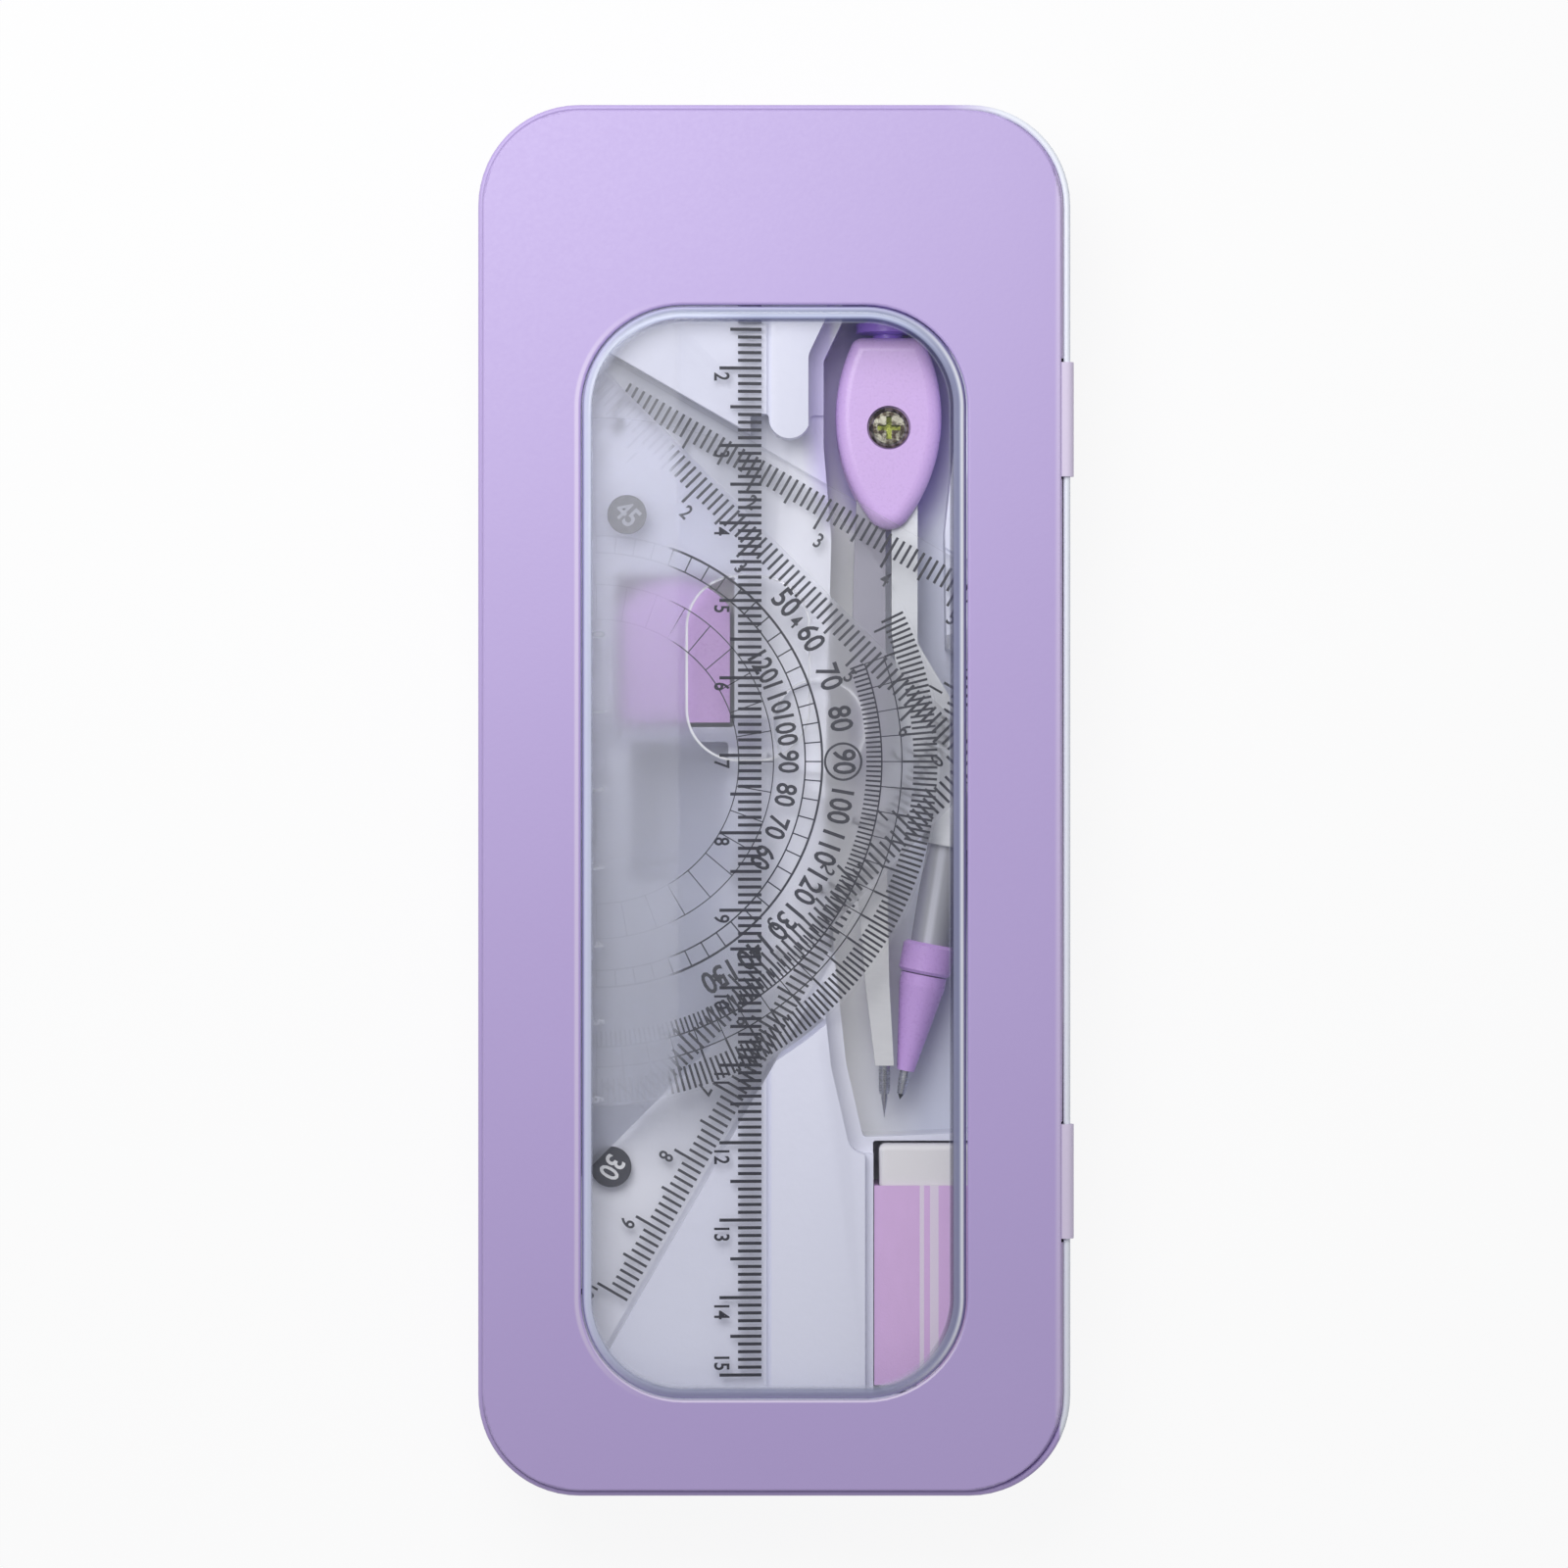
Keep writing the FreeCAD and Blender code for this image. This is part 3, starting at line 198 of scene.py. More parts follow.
class Finish:
    """A node material, with short ways to add the nodes that these finishes share."""

    def __init__(self, name):
        self.material = bpy.data.materials.new(name)
        self.material.use_nodes = True
        self.tree = self.material.node_tree
        self.shader = self.tree.nodes["Principled BSDF"]
        self.output = self.tree.nodes["Material Output"]
        coordinates = self.tree.nodes.new("ShaderNodeTexCoord")
        self.place = coordinates.outputs["Object"]
        self.normal = coordinates.outputs["Normal"]

    def node(self, kind, **settings):
        made = self.tree.nodes.new(kind)
        for key, value in settings.items():
            setattr(made, key, value)
        return made

    def link(self, source, target):
        self.tree.links.new(source, target)

    def put(self, **values):
        for key, value in values.items():
            self.shader.inputs[key.replace("_", " ")].default_value = value
        return self

    def drive(self, socket, source):
        self.link(source, self.shader.inputs[socket])

    def maths(self, kind, first, second):
        """One step of arithmetic on two numbers, each a socket or a plain value."""
        made = self.node("ShaderNodeMath", operation=kind)
        for index, value in enumerate((first, second)):
            if isinstance(value, (int, float)):
                made.inputs[index].default_value = value
            else:
                self.link(value, made.inputs[index])
        return made.outputs[0]

    def times(self, first, *others):
        for other in others:
            first = self.maths("MULTIPLY", first, other)
        return first

    def most(self, first, *others):
        for other in others:
            first = self.maths("MAXIMUM", first, other)
        return first

    def opposite(self, share):
        return self.maths("SUBTRACT", 1.0, share)

    def between(self, amount, first, second):
        """A number between two."""
        step = self.maths("SUBTRACT", second, first)
        return self.maths("ADD", first, self.times(amount, step))

    def vector(self, kind, first, second=None):
        """One step of arithmetic on vectors, the second a socket or plain numbers."""
        made = self.node("ShaderNodeVectorMath", operation=kind)
        self.link(first, made.inputs[0])
        if isinstance(second, tuple):
            made.inputs[1].default_value = second
        elif second is not None:
            self.link(second, made.inputs[1])
        return made.outputs["Value" if kind in ("DOT_PRODUCT", "LENGTH") else "Vector"]

    def axis(self, letter, source=None):
        split = self.node("ShaderNodeSeparateXYZ")
        self.link(source or self.place, split.inputs[0])
        return split.outputs[letter]

    def spread(self, source, low, high, to_low=0.0, to_high=1.0, smooth=False):
        made = self.node("ShaderNodeMapRange")
        made.interpolation_type = "SMOOTHSTEP" if smooth else "LINEAR"
        self.link(source, made.inputs["Value"])
        ends = {"From Min": low, "From Max": high, "To Min": to_low, "To Max": to_high}
        for key, value in ends.items():
            made.inputs[key].default_value = value
        return made.outputs["Result"]

    def fade(self, letter, low, high, to_low=0.0, to_high=1.0, smooth=False):
        """A number that changes between two places on an axis, in millimetres."""
        return self.spread(self.axis(letter), low * MM, high * MM, to_low, to_high, smooth)

    def past(self, letter, place):
        return self.maths("GREATER_THAN", self.axis(letter), place * MM)

    def before(self, letter, place):
        return self.maths("LESS_THAN", self.axis(letter), place * MM)

    def near(self, letter, place, within):
        """One within a distance of a place on an axis, in millimetres."""
        made = self.maths("COMPARE", self.axis(letter), place * MM)
        made.node.inputs[2].default_value = within * MM
        return made

    def facing_up(self):
        return self.maths("GREATER_THAN", self.axis("Z", self.normal), FACING)

    def slant(self, flat, upright):
        """One value on a level face, passing into another on an upright wall."""
        level = self.node("ShaderNodeMath", operation="ABSOLUTE")
        self.link(self.axis("Z", self.normal), level.inputs[0])
        return self.spread(self.opposite(level.outputs[0]), *SLANT_SPAN, flat, upright)

    def speckle(self, scale, detail=3.0, stretch=EVEN):
        """Noise in the object's own place; the scale is in grains per metre."""
        mapping = self.node("ShaderNodeMapping")
        mapping.inputs["Scale"].default_value = stretch
        self.link(self.place, mapping.inputs["Vector"])
        noise = self.node("ShaderNodeTexNoise")
        noise.inputs["Scale"].default_value = scale
        noise.inputs["Detail"].default_value = detail
        self.link(mapping.outputs["Vector"], noise.inputs["Vector"])
        return noise.outputs["Fac"]

    def uneven(self, noise, low, high):
        """Noise turned into a value between two limits."""
        return self.spread(noise, *NOISE_SPAN, low, high)

    def blend(self, amount, first, second):
        """A colour between two, each a socket or a colour."""
        made = self.node("ShaderNodeMix", data_type="RGBA")
        self.link(amount, made.inputs["Factor"])
        for key, value in (("A", first), ("B", second)):
            socket = next(s for s in made.inputs if s.name == key and s.type == "RGBA")
            if isinstance(value, tuple):
                socket.default_value = (*value, 1.0)
            else:
                self.link(value, socket)
        return next(s for s in made.outputs if s.type == "RGBA")

    def mottled(self, noise, colour, dark, light):
        """One colour made uneven by noise."""
        return self.blend(noise, shade(colour, dark), shade(colour, light))

    def ramp(self, source, stops):
        """Colours with their cover along a scale; the first stop is at nought, the last at one."""
        made = self.node("ShaderNodeValToRGB")
        self.link(source, made.inputs["Fac"])
        first, last = made.color_ramp.elements
        first.position, first.color = stops[0]
        last.position, last.color = stops[-1]
        for position, colour in stops[1:-1]:
            made.color_ramp.elements.new(position).color = colour
        return made.outputs

    def bump(self, height, distance):
        made = self.node("ShaderNodeBump")
        made.inputs["Strength"].default_value = 1.0
        made.inputs["Distance"].default_value = distance
        self.link(height, made.inputs["Height"])
        self.drive("Normal", made.outputs["Normal"])


# Finishes, with colours in linear light

LAVENDER = (0.52, 0.41, 0.74)
HIGHLIGHT_LAVENDER = (0.76, 0.67, 0.86)
RIM_HIGHLIGHT = (0.88, 0.91, 1.0)
BARE_TIN = (0.74, 0.76, 0.82)
# The tray's faint blue-lavender tone is partly its own and partly painted reflection of the
# lavender tin.
TRAY_WHITE = (0.79, 0.80, 0.93)
CLEAR_PANE = (0.72, 0.76, 0.96, 0.015)
CLEAR = (0.93, 0.94, 1.0)
ERASER_WHITE = (0.82, 0.80, 0.82)
SLEEVE_LILAC = (0.74, 0.49, 0.82)
SHARPENER_PLUM = (0.51, 0.31, 0.63)
CAP_LILAC = (0.71, 0.49, 0.88)
HANDLE_VIOLET = (0.38, 0.19, 0.84)
CONE_VIOLET = (0.62, 0.39, 0.82)
GRAPHITE = (0.03, 0.03, 0.035)
STEEL = (0.62, 0.63, 0.66)
FERRULE_STEEL = (0.55, 0.56, 0.60)
NEEDLE_STEEL = (0.50, 0.50, 0.54)
ALLOY = (0.70, 0.71, 0.74)
BRASS = (0.60, 0.56, 0.30)
BLACK_INK = (0.02, 0.02, 0.03)


def fine_skin(finish, roughness, grain, depth):
    """The uneven gloss and fine bumps of a moulded skin."""
    gloss = 0.06
    skin = finish.speckle(grain, 2.0)
    finish.drive("Roughness", finish.uneven(skin, roughness - gloss, roughness + gloss))
    finish.bump(skin, depth)


def moulded(name, colour, roughness, grain=2500.0):
    """Plain moulded plastic: faint mottling, a fine skin and uneven gloss."""
    finish = Finish(name)
    finish.drive("Base Color", finish.mottled(finish.speckle(60.0), colour, dark=0.93, light=1.06))
    fine_skin(finish, roughness, grain, depth=0.00002)
    return finish


def drawn_lines(finish, roughness, stretch):
    """Makes a finish metal with fine lines, which it gives back for the colour."""
    finish.put(Metallic=1.0)
    lines = finish.speckle(600.0, 4.0, stretch)
    finish.drive("Roughness", finish.uneven(lines, roughness - 0.05, roughness + 0.08))
    finish.bump(lines, 0.000008)
    return lines


def metal(name, colour, roughness, stretch=DRAWN):
    """Bare metal with fine drawn lines."""
    finish = Finish(name)
    lines = drawn_lines(finish, roughness, stretch)
    finish.drive("Base Color", finish.mottled(lines, colour, dark=0.85, light=1.08))
    return finish


def enamel(name, is_bare, is_lit, pale):
    """Satin lavender enamel on tin plate: tests say where the metal is bare and where a paler coat
    is painted as a highlight.
    """
    finish = Finish(name)
    bare = is_bare(finish)
    cloud = finish.speckle(25.0, 2.0)
    paint = finish.mottled(cloud, LAVENDER, dark=0.98, light=1.02)
    painted_highlight_coat = finish.mottled(cloud, pale, dark=0.96, light=1.03)
    # The paler coat is a painted highlight where the edges catch the light.
    paint = finish.blend(is_lit(finish), paint, painted_highlight_coat)
    lines = finish.speckle(400.0, 4.0, (1.0, 10.0, 1.0))
    tin = finish.mottled(lines, BARE_TIN, dark=0.85, light=1.05)
    finish.drive("Base Color", finish.blend(bare, paint, tin))
    finish.drive("Metallic", bare)
    skin = finish.speckle(1800.0, 2.0)
    painted = finish.uneven(skin, 0.36, 0.44)
    finish.drive("Roughness", finish.maths("SUBTRACT", painted, finish.times(bare, 0.15)))
    finish.bump(skin, 0.00001)
    return finish


def above_wall(finish):
    """One on the rolled rim of the pan, nought on its wall."""
    return finish.fade("Z", 16.30, 16.36)


def bare_in_base(finish):
    """The inside of the pan is bare."""
    below_rim = finish.opposite(above_wall(finish))
    flat_place = finish.vector("MULTIPLY", finish.place, LEVEL)
    outward = finish.vector("DOT_PRODUCT", flat_place, finish.normal)
    inner_wall = finish.maths("LESS_THAN", outward, -4.0 * MM)
    return finish.times(below_rim, finish.most(inner_wall, finish.facing_up()))


def pale_in_base(finish):
    """Painted highlight: the rolled rim is painted pale along the hinge and round its upper corner,
    where its bare tin catches the light.
    """
    # The pale rim is a painted highlight, kept to the sides where the light falls.
    hinge_side = finish.fade("X", 36.6, 36.9)
    corner = finish.times(finish.fade("X", 22.0, 29.0), finish.past("Y", 0.0))
    return finish.times(above_wall(finish), finish.most(hinge_side, corner))


def bare_in_lid(finish):
    """Only the underside of the lid is bare."""
    under = finish.maths("LESS_THAN", finish.axis("Z", finish.normal), -0.6)
    return finish.times(under, finish.before("X", 37.2))


def round_window(finish):
    """Distance from the core of the window's outline, and one at its sides, nought at its ends."""
    core = [(half - WINDOW_CORNER) * MM for half in WINDOW_HALF]
    place = finish.vector("SUBTRACT", finish.place, (0.0, WINDOW_MIDDLE * MM, 0.0))
    place = finish.vector("ABSOLUTE", place)
    place = finish.vector("SUBTRACT", place, (*core, 0.0))
    place = finish.vector("MAXIMUM", place, ORIGIN)
    place = finish.vector("MULTIPLY", place, LEVEL)
    reach = finish.vector("LENGTH", place)
    share = finish.maths("DIVIDE", finish.axis("X", place), reach)
    return reach, finish.times(share, share)


def outside_window(finish, reach, low, high, to_high=1.0):
    """A number that changes between two distances outwards from the window's outline."""
    return finish.spread(
        reach, (WINDOW_CORNER + low) * MM, (WINDOW_CORNER + high) * MM, 0.0, to_high
    )


def pale_in_lid(finish):
    """Painted highlight: the coat is painted paler where the lid turns over at its edges and
    catches the light: at the hinge and at the window's foot and left.
    """
    # Each of these masks is a painted highlight: the hinge tabs, the edge beside the hinge, the
    # window's foot and its left edge.
    hinge_tab_highlight = finish.fade("X", HINGE_CURL, HINGE_CURL + 0.1)
    hem = finish.fade("X", 36.0, 36.4, 0.0, 0.45)
    turned = finish.spread(finish.axis("Y", finish.normal), 0.1, 0.4)
    foot = finish.times(turned, finish.fade("Y", -40.0, -62.0), finish.fade("Y", -80.0, -79.0))
    reach, sideways = round_window(finish)
    outer = outside_window(finish, reach, 1.2, 0.95, 0.65)
    inner = outside_window(finish, reach, 0.5, 0.65)
    left = finish.times(sideways, finish.before("X", 0.0))
    return finish.most(hinge_tab_highlight, hem, foot, finish.times(outer, inner, left))


def smeared(finish, roughness):
    """Gloss with faint smears."""
    smear = finish.speckle(300.0, 2.0)
    finish.drive("Roughness", finish.uneven(smear, roughness, roughness + 0.04))


def clear_gloss(name, colour, roughness):
    """The colour and gloss of clear plastic, without its cover."""
    finish = Finish(name)
    finish.drive("Base Color", finish.mottled(finish.speckle(40.0), colour, dark=0.96, light=1.0))
    smeared(finish, roughness)
    return finish


def clear_plastic(name):
    """Clear sheet seen through flat on and more solid at its edges."""
    finish = clear_gloss(name, CLEAR, 0.08)
    finish.drive("Alpha", finish.slant(0.025, 0.6))
    return finish


# Painted highlight and shade bands on the pane's shoulder: millimetres in from the window's edge,
# then colour and cover
LEFT_LIGHT_BANDS = (
    (0.0, (0.34, 0.31, 0.58, 0.85)), (0.15, (0.76, 0.78, 1.0, 0.85)),
    (0.4, (0.76, 0.78, 0.98, 0.85)), (0.65, (0.63, 0.66, 0.84, 0.85)),
    (1.0, (0.58, 0.61, 0.77, 0.85)), (1.14, (0.40, 0.42, 0.56, 0.22)), (1.3, CLEAR_PANE),
)
RIGHT_LIGHT_BANDS = (
    (0.0, (0.20, 0.17, 0.38, 0.85)), (0.22, (0.34, 0.33, 0.52, 0.85)),
    (0.35, (0.95, 0.96, 1.0, 0.95)), (0.55, (0.90, 0.92, 1.0, 0.95)),
    (0.72, (0.48, 0.50, 0.66, 0.90)), (0.9, (0.24, 0.25, 0.40, 0.85)),
    (1.5, (0.26, 0.27, 0.41, 0.75)), (1.65, (0.06, 0.06, 0.12, 0.50)),
    (1.95, (0.08, 0.08, 0.14, 0.35)), (2.15, CLEAR_PANE),
)
TOP_LIGHT_BANDS = (
    (0.0, (0.30, 0.27, 0.52, 0.85)), (0.14, (0.75, 0.76, 0.98, 0.85)),
    (0.39, (0.54, 0.56, 0.76, 0.80)), (0.64, (0.33, 0.36, 0.50, 0.75)),
    (0.9, (0.50, 0.54, 0.70, 0.75)), (1.15, (0.66, 0.71, 0.92, 0.80)),
    (1.4, (0.40, 0.44, 0.66, 0.60)), (1.62, (0.08, 0.09, 0.20, 0.55)),
    (1.9, (0.10, 0.11, 0.22, 0.35)), (2.15, CLEAR_PANE),
)
FOOT_LIGHT_BANDS = (
    (0.0, (0.50, 0.49, 0.72, 0.88)), (0.3, (0.42, 0.42, 0.64, 0.85)),
    (0.6, (0.35, 0.35, 0.54, 0.80)), (0.9, (0.36, 0.37, 0.54, 0.70)),
    (1.15, (0.31, 0.33, 0.47, 0.60)), (1.4, (0.48, 0.50, 0.62, 0.35)), (1.75, CLEAR_PANE),
)


def edge_bands(finish, depth, bands):
    stops = [(inwards / BAND_DEPTH, colour) for inwards, colour in bands]
    return finish.ramp(depth, stops + [(1.0, CLEAR_PANE)])


def window_pane():
    """Clear formed sheet whose rounded shoulder is shown by painted highlight and shade bands, its
    own along each side as the light falls there.
    """
    finish = Finish("pane_sheet")
    smeared(finish, 0.04)
    reach, sideways = round_window(finish)
    depth = finish.spread(reach, WINDOW_CORNER * MM, (WINDOW_CORNER - BAND_DEPTH) * MM)
    left, right, top, foot = (
        edge_bands(finish, depth, bands)
        for bands in (LEFT_LIGHT_BANDS, RIGHT_LIGHT_BANDS, TOP_LIGHT_BANDS, FOOT_LIGHT_BANDS)
    )
    # Each side gets its own painted highlights and shade, as the light falls on it.
    on_right = finish.past("X", 0.0)
    on_foot = finish.before("Y", WINDOW_MIDDLE)
    sides = finish.blend(on_right, left["Color"], right["Color"])
    ends = finish.blend(on_foot, top["Color"], foot["Color"])
    side_cover = finish.between(on_right, left["Alpha"], right["Alpha"])
    end_cover = finish.between(on_foot, top["Alpha"], foot["Alpha"])
    in_window = finish.maths("LESS_THAN", reach, (WINDOW_CORNER + 0.12) * MM)
    banded = finish.times(finish.facing_up(), in_window)
    plain = finish.slant(CLEAR_PANE[3], 0.8)
    cover = finish.between(sideways, end_cover, side_cover)
    finish.drive("Alpha", finish.between(banded, plain, cover))
    colour = finish.blend(sideways, ends, sides)
    finish.drive("Base Color", finish.blend(banded, CLEAR_PANE[:3], colour))
    return finish


def ruler_plastic():
    """Clear plastic, a little milky on the upper part of its thick side."""
    finish = Finish("ruler_plastic").put(IOR=1.45, Roughness=0.05)
    thick_side = finish.fade("X", -11.9, -12.7)
    panel = finish.times(thick_side, finish.fade("Y", -44.0, -38.0, smooth=True))
    finish.drive("Base Color", finish.blend(panel, (0.86, 0.88, 0.96), (0.94, 0.95, 1.0)))
    milk = finish.uneven(finish.speckle(90.0), 0.08, 0.12)
    milky = finish.times(panel, finish.past("Z", 15.0), milk)
    finish.drive("Alpha", finish.maths("ADD", finish.slant(0.02, 0.6), milky))
    return finish


def frosted_face():
    """A finely roughened face that blurs what lies below, most on the left, and lets light down;
    its colour is painted darker toward the foot on the left as painted shade, and whiter on the
    right as painted light.
    """
    finish = Finish("square_45_frost").put(IOR=1.5, Transmission_Weight=1.0)
    # Painted shade: darker toward the foot on the left, where the lamp falls off; painted light:
    # whiter to the right.
    painted_shade_toward_foot = finish.fade("Y", 45.0, -20.0)
    left = finish.blend(painted_shade_toward_foot, (0.88, 0.88, 0.93), (0.60, 0.61, 0.66))
    painted_light_toward_right = finish.fade("X", -9.0, 2.0)
    finish.drive("Base Color", finish.blend(painted_light_toward_right, left, (0.98, 0.98, 1.0)))
    finish.drive("Roughness", finish.uneven(finish.speckle(3000.0, 2.0), 0.72, 0.80))
    share = finish.fade("X", -9.0, 6.0, 0.97, 0.5)
    rays = finish.node("ShaderNodeLightPath")
    blurring = finish.spread(rays.outputs["Is Shadow Ray"], 0.0, 1.0, 1.0, 0.1)
    finish.drive("Alpha", finish.times(share, blurring))
    return finish


def under_tools(finish, sheet):
    """Painted shade: greyer below the flat tools but not above the sharpener, and darker on the
    shelf beside it.
    """
    below = finish.times(
        finish.fade("X", 1.0, -3.0), finish.fade("Z", 11.1, 10.7),
        finish.fade("Y", -50.0, -40.0), finish.fade("X", -24.0, -17.5, 0.2, 1.0),
    )
    above_sharpener = finish.times(finish.fade("Y", 24.0, 26.0), finish.fade("Z", 9.2, 8.7))
    below = finish.times(below, finish.opposite(above_sharpener))
    # The grey below the flat tools is painted shade; the shelf beside the sharpener is darker
    # still.
    sheet = finish.blend(below, sheet, (0.57, 0.58, 0.66))
    shelf = finish.times(finish.fade("Y", 6.0, 7.0), below, finish.fade("Y", 11.0, 10.4))
    return finish.blend(shelf, sheet, (0.36, 0.36, 0.47))


def beside_head(finish, sheet):
    """Painted reflection and shade: violet from the compass head on the ledge and in the pocket
    close to it, paler toward the left and dark violet from near the head rightwards.
    """
    middle = (14.9, 53.0)
    half = (9.0, 19.0)
    around = finish.node("ShaderNodeMapping", vector_type="POINT")
    offset = [-place / size for place, size in zip(middle, half)]
    around.inputs["Location"].default_value = (*offset, 0.0)
    around.inputs["Scale"].default_value = (*(1.0 / MM / size for size in half), 0.0)
    finish.link(finish.place, around.inputs["Vector"])
    far = finish.vector("LENGTH", around.outputs["Vector"])
    # The violet on the ledge and in the pocket is painted reflection of the head, dark as painted
    # shade beside it.
    ledge = finish.times(
        finish.fade("Z", 13.5, 12.5), finish.spread(far, 1.35, 1.1), finish.fade("X", 8.0, 7.0)
    )
    sheet = finish.blend(ledge, sheet, (0.66, 0.60, 0.90))
    pocket = finish.times(finish.spread(far, 1.15, 0.85), finish.fade("Z", 10.4, 9.5))
    tint = finish.blend(finish.fade("X", 9.0, 11.0), (0.74, 0.68, 0.96), (0.42, 0.36, 0.72))
    return finish.blend(pocket, sheet, tint)


def formed_sheet():
    """White formed sheet with a faint blue tone; deep down it is painted whiter on the left as
    painted light, and greyer on the right and toward the foot as painted shade.
    """
    finish = Finish("tray_sheet")
    fine_skin(finish, 0.34, 900.0, depth=0.00003)
    deck = finish.mottled(finish.speckle(30.0), TRAY_WHITE, dark=0.97, light=1.03)
    # Deep in the pockets: greyer on the right and toward the foot as painted shade, whiter on the
    # left as painted light.
    right = finish.blend(finish.fade("Y", 5.0, -20.0), (0.76, 0.78, 0.92), (0.60, 0.62, 0.73))
    drawn = finish.blend(finish.fade("X", 10.0, 20.0), (1.0, 1.0, 1.0), right)
    sheet = finish.blend(finish.fade("Z", 12.5, 6.0), deck, drawn)
    sheet = under_tools(finish, sheet)
    finish.drive("Base Color", beside_head(finish, sheet))
    return finish


def striped_card():
    """Pink-lilac card with two pale stripes along the sleeve."""
    finish = Finish("sleeve_card")
    fine_skin(finish, 0.5, 4000.0, depth=0.00002)
    fibre = finish.speckle(900.0, 3.0, (1.0, 0.3, 1.0))
    card = finish.mottled(fibre, SLEEVE_LILAC, dark=0.96, light=1.04)
    stripes = finish.most(finish.near("X", 19.1, 0.28), finish.near("X", 20.7, 0.55))
    finish.drive("Base Color", finish.blend(stripes, card, (0.82, 0.72, 0.86)))
    return finish


def needle_alloy():
    """Cast alloy, darker along the shank and lighter towards the point."""
    finish = Finish("needle_leg_alloy")
    lines = drawn_lines(finish, 0.5, DRAWN)
    dull = finish.blend(lines, (0.27, 0.26, 0.31), (0.36, 0.35, 0.41))
    bright = finish.blend(lines, (0.74, 0.74, 0.76), (0.86, 0.86, 0.87))
    finish.drive("Base Color", finish.blend(finish.fade("Y", 5.0, -18.0), dull, bright))
    return finish


def tube_plastic():
    """Smoky tube with a painted highlight streak along its length and painted shade toward its
    right side.
    """
    sideways = (0.988, -0.156, 0.0)
    axis = 23.87
    half = 2.8
    # The streak's bright greys are a painted highlight; the dark end stops are painted shade.
    streak = ((-1.9, 0.47), (-1.5, 0.70), (-1.0, 0.70), (-0.5, 0.46), (0.8, 0.34))
    finish = Finish("barrel_plastic")
    across = finish.vector("DOT_PRODUCT", finish.place, sideways)
    share = finish.spread(across, (axis - half) * MM, (axis + half) * MM)
    stops = [(0.0, (0.36, 0.36, 0.44, 1.0))]
    for offset, grey in streak:
        stops.append(((offset + half) / (2 * half), (grey, grey * 1.01, grey * 1.1, 1.0)))
    stops.append((1.0, (0.24, 0.24, 0.31, 1.0)))
    finish.drive("Base Color", finish.ramp(share, stops)["Color"])
    fine_skin(finish, 0.16, 2500.0, depth=0.00001)
    return finish


def screw_brass():
    """Plated brass gone patchy and olive in the cross; the cross is darkened and the ring at its
    foot painted dark, both as painted shade.
    """
    finish = Finish("pivot_brass")
    drawn_lines(finish, 0.25, EVEN)
    # The recess and the seat are painted darker as shade.
    shaded_recess = finish.fade("Z", 9.3, 9.0)
    seat = finish.fade("Z", 8.75, 8.65)
    patch = finish.spread(finish.speckle(1100.0, 2.0), 0.42, 0.58)
    face = finish.blend(patch, (0.08, 0.06, 0.04), (0.52, 0.50, 0.40))
    cross = finish.blend(patch, (0.10, 0.11, 0.02), (0.36, 0.40, 0.08))
    upper = finish.blend(shaded_recess, face, cross)
    finish.drive("Base Color", finish.blend(seat, upper, (0.04, 0.03, 0.03)))
    return finish


def bevel_gloss(name, middle, lit_side, faint):
    """Polished plastic with a painted highlight: solid and pale on the side toward the light,
    clearest away from it.
    """
    finish = clear_gloss(name, (0.96, 0.96, 1.0), 0.1)
    centre = (middle[0] * MM, middle[1] * MM, 0.0)
    shifted = finish.vector("SUBTRACT", finish.place, centre)
    towards = finish.vector("DOT_PRODUCT", shifted, (*lit_side, 0.0))
    finish.drive("Alpha", finish.spread(towards, -4.0 * MM, 5.0 * MM, faint, 0.9))
    return finish


def printing_ink(name, colour, worn=None):
    """Printed colour, a little uneven; a worn print thins out to the left of a place."""
    finish = Finish(name).put(Roughness=0.5)
    finish.drive("Base Color", finish.mottled(finish.speckle(1500.0), colour, dark=0.8, light=1.3))
    if worn is not None:
        finish.drive("Alpha", finish.fade("X", worn - 3.0, worn, 0.03, 1.0))
    return finish.material


ink = printing_ink("black_print", BLACK_INK)
worn_ink = printing_ink("worn_print", BLACK_INK, worn=-10.8)
grey_ink = printing_ink("grey_print", (0.20, 0.20, 0.23))
faint_ink = printing_ink("faint_print", (0.42, 0.43, 0.50))
white_ink = printing_ink("white_print", (0.85, 0.85, 0.88))

